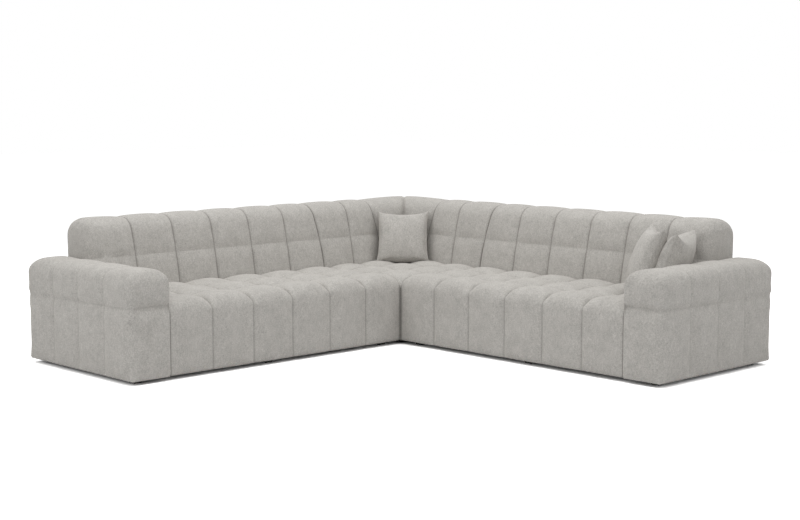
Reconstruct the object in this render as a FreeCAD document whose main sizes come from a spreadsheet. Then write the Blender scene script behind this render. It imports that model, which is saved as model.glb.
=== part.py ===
# Corner sofa of three upholstered modules with three loose scatter cushions.
# Millimetres, +Z up, the floor at z = 0, the origin under the middle of the plan.
# The back of one wing lies along -X, the back of the other along +Y, and the
# outer back corner is at (-half, +half). The wing along -X is the left one, and
# the right wing is its mirror image in the vertical plane through that corner.
import FreeCAD
import Part
import Sketcher

import math
import os

from FreeCAD import Placement, Rotation, Vector

# Driving dimensions

SIZES = {
    # plan and heights of the upholstery
    "overall": 2900.0,
    "wing_depth": 1000.0,
    "arm_width": 250.0,
    "arm_top": 590.0,
    "back_top": 800.0,
    "seat_top": 425.0,
    "foot_height": 30.0,
    # shape of the back
    "back_base_depth": 360.0,
    "back_top_depth": 235.0,
    "back_slant_start": 404.0,
    "back_round": 95.0,
    "back_crease_height": 583.0,
    # seams that divide the upholstery into channels and tiles
    "seat_column_count": 6.0,
    "depth_tile_count": 4.0,
    "seam_depth": 10.0,
    "seat_round": 60.0,
    "arm_round": 65.0,
    "hem_bevel": 14.0,
    "arm_crease_height": 400.0,
    # layers of the upholstery
    "quilt": 34.0,
    "rear_layer": 22.0,
    "cloth": 4.0,
    "dust_cloth": 2.0,
    # timber frame
    "board": 25.0,
    "deck_height": 230.0,
    "post_width": 30.0,
    "post_depth": 45.0,
    "post_count": 4.0,
    "top_rail_height": 45.0,
    "panel": 4.0,
    "arm_board": 18.0,
    "corner_block": 90.0,
    # seat springs, their clips and the back webbing
    "wire": 4.0,
    "spring_count": 6.0,
    "corner_spring_count": 3.0,
    "spring_wave_count": 3.0,
    "spring_width": 52.0,
    "spring_bend": 14.0,
    "clip_sheet": 1.5,
    "clip_width": 24.0,
    "strap_count": 5.0,
    "strap_width": 50.0,
    "strap_sheet": 2.0,
    # feet and module connectors
    "foot_width": 60.0,
    "foot_draft": 6.0,
    "foot_inset": 60.0,
    "foot_pair_count": 3.0,
    "corner_foot_pair_count": 2.0,
    "connector_length": 120.0,
    "connector_width": 40.0,
    "connector_sheet": 3.0,
    # scatter cushions
    "pillow_width": 345.0,
    "pillow_thickness": 116.0,
    "pillow_edge": 12.0,
    "pillow_cloth": 2.0,
    "pillow_gap": 0.5,
    "corner_pillow_gap": 181.0,
    "corner_pillow_lean": 22.0,
    "side_pillow_lean": 21.0,
    "side_pillow_turn": 22.0,
    "inner_pillow_roll": 6.0,
    "outer_pillow_arm_gap": 132.0,
    "outer_pillow_back_gap": 157.0,
    "pillow_spacing": 120.0,
}

doc = FreeCAD.newDocument("corner_sofa")
sheet = doc.addObject("Spreadsheet::Sheet", "Sizes")
for row, (alias, number) in enumerate(SIZES.items(), start=1):
    sheet.set(f"A{row}", alias)
    sheet.set(f"B{row}", str(number))
    sheet.setAlias(f"B{row}", alias)
doc.recompute()


def size(alias):
    """Current value of a driving dimension."""
    return float(sheet.get(alias))


def terms(text):
    """Put the sheet's name before each driving dimension in an expression."""
    words = []
    word = ""
    for letter in text + " ":
        if letter.isalnum() or letter == "_":
            word += letter
            continue
        words.append(f"Sizes.{word}" if word in SIZES else word)
        words.append(letter)
        word = ""
    return "".join(words).strip()


def value(text):
    """Number that an expression of driving dimensions gives now."""
    return float(sheet.evalExpression(terms(text)))


# Places shared by several pieces. Along means from the outer back corner along
# a wing, depth means from the plane behind its back.

HALF = "(overall / 2)"
COLUMN = "((overall - wing_depth - arm_width) / seat_column_count)"
TILE = "(wing_depth / depth_tile_count)"
ARM_START = "(overall - arm_width)"
RAIL_BOTTOM = "(foot_height + dust_cloth)"
FRAME_START = "(wing_depth + cloth)"
FRAME_END = "(overall - arm_width + cloth)"
FRAME_FRONT = "(wing_depth - quilt)"
FRAME_REAR = "(rear_layer + panel)"
POST_FRONT = "(rear_layer + panel + post_depth)"
POST_TOP = "(back_top - back_round - top_rail_height)"
STRAP_FRONT = "(rear_layer + panel + post_depth + strap_sheet)"
CUSHION_BOTTOM = "(deck_height + 2 * clip_sheet + wire)"
ARM_BOARD_TOP = "(arm_top - quilt - arm_round)"
SLOPE = "((back_base_depth - back_top_depth) / (back_top - back_slant_start))"

# Lengths closer than this are the same, and an edge that lies clear of a face
# is at least the second length away from it
SAME = 0.01
CLEAR = 1.0

# Helpers


def bind(obj, path, text):
    """Tie one property to an expression of driving dimensions."""
    obj.setExpression(path, terms(text))


def place(obj, x, y, z):
    """Tie an object's place to expressions."""
    bind(obj, "Placement.Base.x", x)
    bind(obj, "Placement.Base.y", y)
    bind(obj, "Placement.Base.z", z)


def block(name, along, depth, height):
    """Box of the left wing between two limits in each direction."""
    box = doc.addObject("Part::Box", name)
    bind(box, "Length", f"({depth[1]}) - ({depth[0]})")
    bind(box, "Width", f"({along[1]}) - ({along[0]})")
    bind(box, "Height", f"({height[1]}) - ({height[0]})")
    place(box, f"{depth[0]} - {HALF}", f"{HALF} - ({along[1]})", height[0])
    return box


def group(name, members):
    """Several separate solids that form one node."""
    compound = doc.addObject("Part::Compound", name)
    compound.Links = members
    return compound


def cut(name, base, tools):
    """A solid with other solids taken out of it."""
    tool = tools[0]
    if len(tools) > 1:
        tool = fuse(name + "_void", tools)
    result = doc.addObject("Part::Cut", name)
    result.Base = base
    result.Tool = tool
    return result


def fuse(name, members):
    """One solid made of several that touch or overlap."""
    result = doc.addObject("Part::MultiFuse", name)
    result.Shapes = members
    result.Refine = True
    return result


def mirrored(name, source):
    """The same piece on the other side of the plane through the outer corner."""
    twin = doc.addObject("Part::Mirroring", name)
    twin.Source = source
    twin.Normal = Vector(1, 1, 0)
    twin.Base = Vector(0, 0, 0)
    return twin


def origin_plane(body, role):
    """One of a body's own origin planes."""
    return next(item for item in body.Origin.OriginFeatures if item.Role == role)


def new_body(name, x, y, z):
    """Empty body placed by expressions."""
    body = doc.addObject("PartDesign::Body", name)
    body.AllowCompound = True
    place(body, x, y, z)
    return body


def outline(body, role, loops):
    """Sketch of closed polygons whose corners are tied to expressions."""
    sketch = body.newObject("Sketcher::SketchObject", body.Name + "_sketch")
    sketch.AttachmentSupport = [(origin_plane(body, role), "")]
    sketch.MapMode = "FlatFace"
    for points in loops:
        add_loop(sketch, points)
    return sketch


def add_loop(sketch, points):
    """Closed polygon through the points, each a pair of expressions."""
    corners = [Vector(value(x), value(y), 0) for x, y in points]
    first = sketch.GeometryCount
    count = len(corners)
    for index, corner in enumerate(corners):
        sketch.addGeometry(Part.LineSegment(corner, corners[(index + 1) % count]), False)
    for index, (x, y) in enumerate(points):
        line = first + index
        after = first + (index + 1) % count
        sketch.addConstraint(Sketcher.Constraint("Coincident", line, 2, after, 1))
        for kind, number in (("DistanceX", x), ("DistanceY", y)):
            tie = Sketcher.Constraint(kind, -1, 1, line, 1, value(number))
            bind(sketch, f"Constraints[{sketch.addConstraint(tie)}]", number)


def pad(body, sketch, length):
    """Sketch raised to a solid along its normal."""
    feature = body.newObject("PartDesign::Pad", body.Name + "_pad")
    feature.Profile = sketch
    bind(feature, "Length", length)
    sketch.Visibility = False
    return feature


def row_of(body, name, sketch, axis, count, pitch, reverse=False):
    """Whole body repeated in a row, its pitch and count tied to the sheet."""
    feature = body.newObject("PartDesign::LinearPattern", name)
    feature.TransformMode = "Whole shape"
    feature.Direction = (sketch, [axis])
    feature.Mode = "Spacing"
    feature.Reversed = reverse
    bind(feature, "Offset", pitch)
    bind(feature, "Occurrences", count)
    body.Tip = feature
    return feature


def edges_where(feature, test):
    """Names of a feature's edges whose middle point passes a test."""
    doc.recompute()
    names = []
    for index, edge in enumerate(feature.Shape.Edges, start=1):
        middle = edge.valueAt((edge.FirstParameter + edge.LastParameter) / 2)
        if test(edge, middle):
            names.append(f"Edge{index}")
    return names


def rounded(body, feature, name, radius, test):
    """Fillet on the edges that pass a test."""
    fillet = body.newObject("PartDesign::Fillet", name)
    fillet.Base = (feature, edges_where(feature, test))
    bind(fillet, "Radius", radius)
    return fillet


def bevelled(body, feature, name, width, test):
    """Chamfer on the edges that pass a test."""
    chamfer = body.newObject("PartDesign::Chamfer", name)
    chamfer.Base = (feature, edges_where(feature, test))
    bind(chamfer, "Size", width)
    return chamfer


def near(one, other):
    """Whether two lengths are the same."""
    return abs(one - other) < SAME


def notch(x, y, across, inward):
    """Triangle that cuts a V seam, its tip one seam depth inside a face.

    across and inward are unit steps in the sketch: along the face and into it.
    """
    wide = "seam_depth * 2"
    tip = (f"{x} + {inward[0]} * seam_depth", f"{y} + {inward[1]} * seam_depth")
    corners = [tip]
    for side in (1, -1):
        corners.append((
            f"{x} + {side * across[0]} * {wide} - {inward[0]} * seam_depth",
            f"{y} + {side * across[1]} * {wide} - {inward[1]} * seam_depth",
        ))
    return corners


def seam(body, name, role, notches, length):
    """V seams cut right through a body, on both sides of a sketch plane."""
    sketch = body.newObject("Sketcher::SketchObject", name + "_sketch")
    sketch.AttachmentSupport = [(origin_plane(body, role), "")]
    sketch.MapMode = "FlatFace"
    for points in notches:
        add_loop(sketch, points)
    feature = body.newObject("PartDesign::Pocket", name)
    feature.Profile = sketch
    feature.Midplane = True
    bind(feature, "Length", f"2 * ({length})")
    body.Tip = feature
    sketch.Visibility = False
    return feature


# Upholstery covers


def seat_shell():
    """Seat block of the left wing: six puffed channels with two cross seams."""
    body = new_body("seat_channels", f"-{HALF}", f"{HALF} - wing_depth", "0")
    sketch = outline(body, "XZ_Plane", [[
        ("back_base_depth", "foot_height"),
        ("wing_depth", "foot_height"),
        ("wing_depth", "seat_top"),
        ("back_base_depth", "seat_top"),
    ]])
    column = pad(body, sketch, COLUMN)
    front = size("wing_depth")
    top = size("seat_top")
    low = size("foot_height")
    width = value(COLUMN)
    column = rounded(body, column, "seat_roll", "seat_round",
                     lambda edge, p: near(p.x, front) and near(p.z, top))
    column = bevelled(body, column, "seat_hem", "hem_bevel",
                      lambda edge, p: near(p.x, front) and near(p.z, low))
    column = bevelled(body, column, "seat_seam", "seam_depth",
                      lambda edge, p: (near(p.y, 0) or near(p.y, -width))
                      and p.x > size("back_base_depth") + CLEAR and p.z > low + CLEAR)
    row_of(body, "seat_columns_row", sketch, "N_Axis", "seat_column_count", COLUMN)
    across = [notch(f"{TILE} * {rank}", "seat_top", (1, 0), (0, -1)) for rank in (2, 3)]
    seam(body, "seat_cross_seams", "XZ_Plane", across, "overall")
    return body


def seat_cover():
    """Quilted seat cover: the channelled block less the room for foam and frame."""
    foam_room = block("seat_foam_room", (FRAME_START, f"{ARM_START} - cloth"),
                      ("back_base_depth + cloth", FRAME_FRONT), ("deck_height", "seat_top - quilt"))
    frame_room = block("seat_frame_room", (FRAME_START, FRAME_END),
                       ("back_base_depth - cloth", FRAME_FRONT), ("0", CUSHION_BOTTOM))
    return cut("left_seat_cover", seat_shell(), [foam_room, frame_room])


def back_outline():
    """Corners of the back's side view before its top edges are rounded."""
    return [
        ("0", "foot_height"),
        ("back_base_depth", "foot_height"),
        ("back_base_depth", "back_slant_start"),
        ("back_top_depth", "back_top"),
        ("0", "back_top"),
    ]


def back_lobes(name, start, width, count):
    """Row of back channels, each with its edges eased down to the seams."""
    body = new_body(name, f"-{HALF}", f"{HALF} - ({start})", "0")
    sketch = outline(body, "XZ_Plane", [back_outline()])
    column = pad(body, sketch, width)
    top = size("back_top")
    wide = value(width)
    column = rounded(body, column, name + "_crown", "back_round",
                     lambda edge, p: near(p.z, top) and near(p.y, -wide / 2))
    column = bevelled(body, column, name + "_seam", "seam_depth",
                      lambda edge, p: (near(p.y, 0) or near(p.y, -wide))
                      and p.z > size("foot_height") + CLEAR and p.x > CLEAR
                      and not near(p.x, size("back_base_depth")))
    if value(count) > 1:
        row_of(body, name + "_row", sketch, "N_Axis", count, width)
    face = f"back_base_depth - (back_crease_height - back_slant_start) * {SLOPE}"
    seam(body, name + "_crease", "XZ_Plane",
         [notch(face, "back_crease_height", (0, 1), (-1, 0))], "overall")
    return body


def inner_outline(front, rear, bottom, top):
    """Side view of a piece inside the back, parallel to the slanted front."""
    return [
        (rear, bottom),
        (f"back_base_depth - {front}", bottom),
        (f"back_base_depth - {front}", "back_slant_start"),
        (f"back_top_depth - {front} + ({top}) * {SLOPE}", f"back_top - {top}"),
        (rear, f"back_top - {top}"),
    ]


def back_core(name, start, end, front, rear, bottom, top):
    """Solid between two places along the left wing with the inner side view."""
    body = new_body(name, f"-{HALF}", f"{HALF} - ({start})", "0")
    sketch = outline(body, "XZ_Plane", [inner_outline(front, rear, bottom, top)])
    core = pad(body, sketch, f"({end}) - ({start})")
    crown = value(f"back_top - {top}")
    wide = value(f"({end}) - ({start})")
    rounded(body, core, name + "_crown", "back_round - quilt",
            lambda edge, p: near(p.z, crown) and near(p.y, -wide / 2))
    return body


def back_cover():
    """Quilted back cover of the left wing."""
    lobes = back_lobes("back_channels", "wing_depth", COLUMN, "seat_column_count")
    room = back_core("back_room", FRAME_START, f"{ARM_START} - cloth",
                     "quilt", "rear_layer", "deck_height", "quilt")
    frame_room = block("back_frame_room", (FRAME_START, FRAME_END),
                       ("rear_layer", "back_base_depth"), ("0", CUSHION_BOTTOM))
    return cut("left_back_cover", lobes, [room, frame_room])


def back_foam():
    """Foam of the left back, in front of the posts and over the top rail."""
    core = back_core("back_foam_core", FRAME_START, f"{ARM_START} - cloth",
                     "quilt", "rear_layer", "deck_height", "quilt")
    frame = block("back_foam_frame_room", (FRAME_START, ARM_START),
                  ("0", STRAP_FRONT), ("0", f"{POST_TOP} + top_rail_height"))
    return cut("left_back_foam", core, [frame])


def arm_shell():
    """Arm block of the left wing: four channels and a crease all round."""
    body = new_body("arm_channels", f"-{HALF}", f"-{HALF}", "0")
    sketch = outline(body, "YZ_Plane", [[
        ("0", "foot_height"),
        ("arm_width", "foot_height"),
        ("arm_width", "arm_top"),
        ("0", "arm_top"),
    ]])
    lobe = pad(body, sketch, TILE)
    top = size("arm_top")
    low = size("foot_height")
    depth = value(TILE)
    lobe = rounded(body, lobe, "arm_roll", "arm_round",
                   lambda edge, p: near(p.z, top) and near(p.x, depth / 2))
    lobe = bevelled(body, lobe, "arm_hem", "hem_bevel",
                    lambda edge, p: near(p.z, low) and near(p.y, 0) and near(p.x, depth / 2))
    bevelled(body, lobe, "arm_seam", "seam_depth",
             lambda edge, p: (near(p.x, 0) or near(p.x, depth)) and p.z > low + CLEAR
             and not near(p.y, size("arm_width")))
    row_of(body, "arm_lobes_row", sketch, "N_Axis", "depth_tile_count", TILE)
    seam(body, "arm_side_crease", "YZ_Plane",
         [notch("0", "arm_crease_height", (0, 1), (1, 0))], "overall")
    seam(body, "arm_front_crease", "XZ_Plane",
         [notch("wing_depth", "arm_crease_height", (0, 1), (-1, 0))], "overall")
    return body


def arm_core(name):
    """Inside of the arm above the deck, its top edges rounded like the cover's."""
    body = new_body(name, f"rear_layer - {HALF}", f"{HALF} - overall + quilt", "deck_height")
    width = "(arm_width - quilt - cloth)"
    height = "(arm_top - quilt - deck_height)"
    sketch = outline(body, "YZ_Plane", [[
        ("0", "0"),
        (width, "0"),
        (width, height),
        ("0", height),
    ]])
    core = pad(body, sketch, f"{FRAME_FRONT} - rear_layer")
    crown = value(height)
    middle = value(f"({FRAME_FRONT} - rear_layer) / 2")
    rounded(body, core, name + "_roll", "arm_round - cloth",
            lambda edge, p: near(p.z, crown) and near(p.x, middle))
    return body


def arm_cover():
    """Quilted arm cover of the left wing."""
    frame_room = block("arm_frame_room", (f"{ARM_START} - cloth", "overall - quilt"),
                       ("rear_layer", FRAME_FRONT), ("0", "deck_height"))
    return cut("left_arm_cover", arm_shell(), [arm_core("arm_room"), frame_room])


def corner_seat_cover():
    """Tile grid of the corner seat."""
    side = "(wing_depth - back_base_depth)"
    height = "(seat_top - foot_height)"
    body = new_body("corner_tiles", f"back_base_depth - {HALF}", f"{HALF} - back_base_depth",
                    "foot_height")
    sketch = outline(body, "XY_Plane", [[
        ("0", "0"),
        (side, "0"),
        (side, f"-{side}"),
        ("0", f"-{side}"),
    ]])
    raised = pad(body, sketch, height)
    top = value(height)
    bevelled(body, raised, "corner_tile_edge", "seam_depth",
             lambda edge, p: near(p.z, top) and p.x > CLEAR and p.y < -CLEAR)
    ranks = [f"{TILE} * {rank} - back_base_depth" for rank in (2, 3)]
    seam(body, "corner_seams_one_way", "XZ_Plane",
         [notch(rank, height, (1, 0), (0, -1)) for rank in ranks], "overall")
    seam(body, "corner_seams_other_way", "YZ_Plane",
         [notch(f"-1 * ({rank})", height, (1, 0), (0, -1)) for rank in ranks], "overall")
    inside = ("back_base_depth + cloth", "wing_depth - cloth")
    through = ("back_base_depth - cloth", "wing_depth - cloth")
    foam_room = block("corner_foam_room", inside, inside, ("deck_height", "seat_top - quilt"))
    frame_room = block("corner_frame_room", through, through, ("0", CUSHION_BOTTOM))
    return cut("corner_seat_cover", body, [foam_room, frame_room])


def mitre_tool(name):
    """Prism that takes away the far side of the diagonal through the corner."""
    body = new_body(name, f"-{HALF}", HALF, "0")
    sketch = outline(body, "XY_Plane", [[
        ("-1 * wing_depth", "wing_depth"),
        ("2 * wing_depth", "wing_depth"),
        ("2 * wing_depth", "-2 * wing_depth"),
    ]])
    pad(body, sketch, "2 * back_top")
    return body


def mitred(name, arm):
    """L-shaped solid: one straight arm cut at the diagonal, and its twin."""
    half = cut(name + "_half", arm, [mitre_tool(name + "_mitre")])
    return fuse(name, [half, mirrored(name + "_twin", half)])


def corner_back_core(name, rear_depth, bottom, top):
    """L-shaped solid inside the corner back."""
    arm = back_core(name + "_arm", rear_depth, "wing_depth - cloth",
                    "quilt", rear_depth, bottom, top)
    return mitred(name, arm)


def corner_back_cover():
    """Mitred back cover of the corner module."""
    plain = back_lobes("corner_wide_channel", "0", f"2 * {TILE}", "1")
    row = back_lobes("corner_channels", f"2 * {TILE}", TILE, "depth_tile_count - 2")
    straight = fuse("corner_back_straight", [plain, row])
    shell = mitred("corner_back_shell", straight)
    room = corner_back_core("corner_back_room", "rear_layer", "deck_height", "quilt")
    frame_room = block("corner_base_room", ("rear_layer", "wing_depth - cloth"),
                       ("rear_layer", "wing_depth - cloth"), ("0", CUSHION_BOTTOM))
    return cut("corner_back_cover", shell, [room, frame_room])


def corner_back_foam():
    """Foam of the corner back, in front of the posts and over the rails."""
    core = corner_back_core("corner_foam_core", "rear_layer", "deck_height", "quilt")
    side = block("corner_foam_post_room", ("0", "wing_depth"), ("0", STRAP_FRONT),
                 ("0", f"{POST_TOP} + top_rail_height"))
    return cut("corner_back_foam", core, [side, mirrored("corner_foam_post_twin", side)])


# Foam, timber and fittings of the left wing


def seat_foam():
    """Seat foam block on the springs."""
    return block("left_seat_foam", (FRAME_START, f"{ARM_START} - cloth"),
                 ("back_base_depth + cloth", FRAME_FRONT), (CUSHION_BOTTOM, "seat_top - quilt"))


def arm_foam():
    """Foam cap over the arm's top board."""
    below = block("arm_foam_frame_room", (f"{ARM_START} - cloth", "overall"),
                  ("0", "wing_depth"), ("0", ARM_BOARD_TOP))
    return cut("left_arm_foam", arm_core("arm_foam_core"), [below])


def rail_blocks():
    """Three long rails of the base frame."""
    front = block("left_front_rail", (FRAME_START, FRAME_END),
                  (f"{FRAME_FRONT} - board", FRAME_FRONT), (RAIL_BOTTOM, "deck_height"))
    middle = block("left_spring_rail", (f"{FRAME_START} + board", f"{FRAME_END} - board"),
                   ("back_base_depth - board", "back_base_depth"), (RAIL_BOTTOM, "deck_height"))
    rear = block("left_rear_rail", (f"{FRAME_START} + board", f"{FRAME_END} - board"),
                 (POST_FRONT, f"{POST_FRONT} + board"), (RAIL_BOTTOM, "deck_height"))
    return [front, middle, rear]


def cross_rails():
    """End rails of the base frame and a middle rail in each of its bays."""
    middle = f"(({FRAME_START} + {FRAME_END}) / 2)"
    height = (RAIL_BOTTOM, "deck_height")
    full = (FRAME_REAR, f"{FRAME_FRONT} - board")
    spans = [
        ((FRAME_START, f"{FRAME_START} + board"), full),
        ((f"{FRAME_END} - board", FRAME_END), full),
        ((f"{middle} - board / 2", f"{middle} + board / 2"),
         ("back_base_depth", f"{FRAME_FRONT} - board")),
        ((f"{middle} - board / 2", f"{middle} + board / 2"),
         (f"{POST_FRONT} + board", "back_base_depth - board")),
    ]
    rails = [block(f"left_cross_rail_{rank}", along, depth, height)
             for rank, (along, depth) in enumerate(spans)]
    return group("left_cross_rails", rails)


def corner_blocks():
    """Glue blocks in the front corners of the base frame, cut on the slant."""
    blocks = []
    places = [
        (f"{FRAME_START} + board", 1),
        (f"{FRAME_END} - board", -1),
    ]
    for rank, (along, way) in enumerate(places):
        body = new_body(f"left_corner_block_{rank}", f"{FRAME_FRONT} - board - {HALF}",
                        f"{HALF} - ({along})", RAIL_BOTTOM)
        sketch = outline(body, "XY_Plane", [[
            ("0", "0"),
            ("-1 * corner_block", "0"),
            ("0", f"{-way} * corner_block"),
        ]])
        pad(body, sketch, f"deck_height - {RAIL_BOTTOM} - board")
        blocks.append(body)
    return group("left_corner_blocks", blocks)


def back_posts():
    """Upright posts that carry the back, screwed to the rear rail."""
    first = f"({FRAME_START} + board)"
    step = f"(({FRAME_END} - {FRAME_START} - 2 * board - post_width) / (post_count - 1))"
    posts = []
    for rank in range(int(size("post_count"))):
        along = f"{first} + {rank} * {step}"
        posts.append(block(f"left_post_{rank}", (along, f"{along} + post_width"),
                           (FRAME_REAR, POST_FRONT), (RAIL_BOTTOM, POST_TOP)))
    return group("left_back_posts", posts)


def back_frame():
    """Top rail on the posts and the hardboard panel behind them."""
    rail = block("left_back_top_rail", (f"{FRAME_START} + board", f"{FRAME_END} - board"),
                 (FRAME_REAR, POST_FRONT), (POST_TOP, f"{POST_TOP} + top_rail_height"))
    panel = block("left_back_panel", (FRAME_START, f"{ARM_START} - cloth"),
                  ("rear_layer", FRAME_REAR), (RAIL_BOTTOM, f"{POST_TOP} + top_rail_height"))
    return [rail, panel]


def straps(side, start, end):
    """Elastic straps stretched across the front of the posts."""
    room = f"({POST_TOP} - deck_height)"
    members = []
    for rank in range(int(size("strap_count"))):
        low = f"deck_height + {room} * {rank + 1} / (strap_count + 1) - strap_width / 2"
        members.append(block(f"{side}_strap_{rank}", (start, end), (POST_FRONT, STRAP_FRONT),
                             (low, f"{low} + strap_width")))
    return members


def back_webbing():
    """Straps of the left back."""
    members = straps("left", f"{FRAME_START} + board", f"{FRAME_END} - board")
    return group("left_back_webbing", members)


def arm_frame():
    """Board box inside the arm."""
    inner = (FRAME_END, f"{FRAME_END} + arm_board")
    outer = ("overall - quilt - arm_board", "overall - quilt")
    between = (inner[1], outer[0])
    depth = ("rear_layer", FRAME_FRONT)
    height = (RAIL_BOTTOM, f"{ARM_BOARD_TOP} - arm_board")
    boards = [
        block("arm_inner_panel", inner, depth, height),
        block("arm_outer_panel", outer, depth, height),
        block("arm_front_board", between, (f"{FRAME_FRONT} - arm_board", FRAME_FRONT), height),
        block("arm_rear_board", between, ("rear_layer", "rear_layer + arm_board"), height),
        block("arm_top_board", (inner[0], outer[1]), depth,
              (f"{ARM_BOARD_TOP} - arm_board", ARM_BOARD_TOP)),
    ]
    return group("left_arm_frame", boards)


def spring(name, along, front, rear):
    """Zigzag spring of round-cornered waves between two rails.

    One wave is a swept square wire, and the wave repeats along the depth.
    """
    pitch = f"((({front}) - ({rear})) / (spring_wave_count * 2))"
    body = new_body(name, f"{rear} - {HALF}", f"{HALF} - ({along})",
                    "deck_height + clip_sheet + wire / 2")
    reach = "spring_width / 2"
    bend = "spring_bend"
    points = [("0", "0")]
    for rank, way in ((0, 1), (1, -1)):
        start = f"{rank} * {pitch}"
        points.append((start, f"{way} * ({reach} - {bend})"))
        points.append((f"{start} + {bend}", f"{way} * {reach}"))
        points.append((f"{start} + {pitch} - {bend}", f"{way} * {reach}"))
        points.append((f"{start} + {pitch}", f"{way} * ({reach} - {bend})"))
    points.append((f"2 * {pitch}", "0"))
    path = body.newObject("Sketcher::SketchObject", name + "_path")
    path.AttachmentSupport = [(origin_plane(body, "XY_Plane"), "")]
    path.MapMode = "FlatFace"
    add_path(path, points)
    section = outline(body, "XZ_Plane", [[
        ("-1 * wire / 2", "-1 * wire / 2"),
        ("wire / 2", "-1 * wire / 2"),
        ("wire / 2", "wire / 2"),
        ("-1 * wire / 2", "wire / 2"),
    ]])
    pipe = body.newObject("PartDesign::AdditivePipe", name + "_wave")
    pipe.Profile = section
    pipe.Spine = path
    pipe.Transition = "Right corner"
    path.Visibility = False
    section.Visibility = False
    row_of(body, name + "_waves", path, "H_Axis", "spring_wave_count", f"2 * {pitch}")
    return body


def add_path(sketch, points):
    """Open line through the points, each a pair of expressions."""
    corners = [Vector(value(x), value(y), 0) for x, y in points]
    for start, end in zip(corners, corners[1:]):
        sketch.addGeometry(Part.LineSegment(start, end), False)
    last = len(points) - 2
    for line in range(last):
        sketch.addConstraint(Sketcher.Constraint("Coincident", line, 2, line + 1, 1))
    for index, (x, y) in enumerate(points):
        end = (index, 1) if index <= last else (last, 2)
        for kind, number in (("DistanceX", x), ("DistanceY", y)):
            tie = Sketcher.Constraint(kind, -1, 1, end[0], end[1], value(number))
            bind(sketch, f"Constraints[{sketch.addConstraint(tie)}]", number)


def spring_set(side, start, end, rear, front, count):
    """Springs spread evenly between two end rails, and a clip at each end."""
    pitch = f"((({end}) - ({start})) / {count})"
    first = spring(f"{side}_first_spring", f"{start} + {pitch} / 2", front, rear)
    path = doc.getObject(f"{side}_first_spring_path")
    row_of(first, f"{side}_spring_row", path, "V_Axis", count, pitch, reverse=True)
    first.Label = f"{side}_seat_springs"
    clips = []
    for rank in range(int(value(count))):
        along = f"{start} + {pitch} * ({rank} + 0.5)"
        clips.append(clip(f"{side}_rear_clip_{rank}", along, rear, 1))
        clips.append(clip(f"{side}_front_clip_{rank}", along, front, -1))
    return first, group(f"{side}_spring_clips", clips)


def clip(name, along, bar, way):
    """Folded steel clip that hugs the end bar of a spring on its rail."""
    reach = "3 * wire"
    rear = f"{bar} - {reach} / 2"
    span = (f"{along} - clip_width / 2", f"{along} + clip_width / 2")
    outer = block(name + "_fold", span, (rear, f"{rear} + {reach}"),
                  ("deck_height", CUSHION_BOTTOM))
    if way > 0:
        gap = (f"{bar} - wire / 2", f"{rear} + {reach} + wire")
    else:
        gap = (f"{rear} - wire", f"{bar} + wire / 2")
    slot = block(name + "_slot", (f"{span[0]} - wire", f"{span[1]} + wire"), gap,
                 ("deck_height + clip_sheet", f"{CUSHION_BOTTOM} - clip_sheet"))
    return cut(name, outer, [slot])


def foot(name, along, depth):
    """Tapered foot, smaller at the floor."""
    wedge = doc.addObject("Part::Wedge", name)
    low = {"Xmin": "foot_draft", "Xmax": "foot_width - foot_draft",
           "Zmin": "foot_draft", "Zmax": "foot_width - foot_draft",
           "Ymin": "0", "Ymax": "foot_height",
           "X2min": "0", "X2max": "foot_width", "Z2min": "0", "Z2max": "foot_width"}
    for path, text in low.items():
        bind(wedge, path, text)
    wedge.Placement.Rotation = Rotation(Vector(1, 0, 0), 90)
    place(wedge, f"{depth} - foot_width / 2 - {HALF}", f"{HALF} - ({along}) + foot_width / 2", "0")
    return wedge


def feet(side, start, end, count):
    """Feet in two rows under a module, set in from its edges."""
    inset = "(foot_inset + foot_width / 2)"
    pitch = f"((({end}) - ({start}) - 2 * {inset}) / ({count} - 1))"
    members = []
    for rank in range(int(size(count))):
        along = f"{start} + {inset} + {rank} * {pitch}"
        for row, depth in enumerate((inset, f"wing_depth - {inset}")):
            members.append(foot(f"{side}_foot_{rank}_{row}", along, depth))
    return group(f"{side}_feet", members)


def dust_cover(name, along, depth):
    """Thin cloth stapled under a module's frame."""
    return block(name, along, depth, ("foot_height", RAIL_BOTTOM))


# Corner module


def corner_frame():
    """Base frame of the corner module."""
    inner = "(wing_depth - cloth)"
    height = (RAIL_BOTTOM, "deck_height")
    spans = [
        ((FRAME_REAR, inner), (f"{inner} - board", inner)),
        ((f"{inner} - board", inner), (FRAME_REAR, f"{inner} - board")),
        ((POST_FRONT, f"{inner} - board"), ("back_base_depth - board", "back_base_depth")),
        ((POST_FRONT, f"{inner} - board"), (POST_FRONT, f"{POST_FRONT} + board")),
        ((POST_FRONT, f"{POST_FRONT} + board"), (f"{POST_FRONT} + board", "back_base_depth - board")),
        ((POST_FRONT, f"{POST_FRONT} + board"), ("back_base_depth", f"{inner} - board")),
    ]
    rails = [block(f"corner_rail_{rank}", along, depth, height)
             for rank, (along, depth) in enumerate(spans)]
    return group("corner_base_rails", rails)


def corner_posts():
    """Upright posts of the corner back: one in the corner, two along each side."""
    inner = "(wing_depth - cloth)"
    heights = (RAIL_BOTTOM, POST_TOP)
    shared = block("corner_post_0", (FRAME_REAR, POST_FRONT), (FRAME_REAR, POST_FRONT), heights)
    posts = [shared]
    places = [f"({inner} - board - post_width)", f"(({POST_FRONT} + {inner} - board - post_width) / 2)"]
    for rank, along in enumerate(places, start=1):
        post = block(f"corner_post_{rank}", (along, f"{along} + post_width"),
                     (FRAME_REAR, POST_FRONT), heights)
        posts.append(post)
        posts.append(mirrored(f"corner_post_{rank}_twin", post))
    return group("corner_back_posts", posts)


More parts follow.
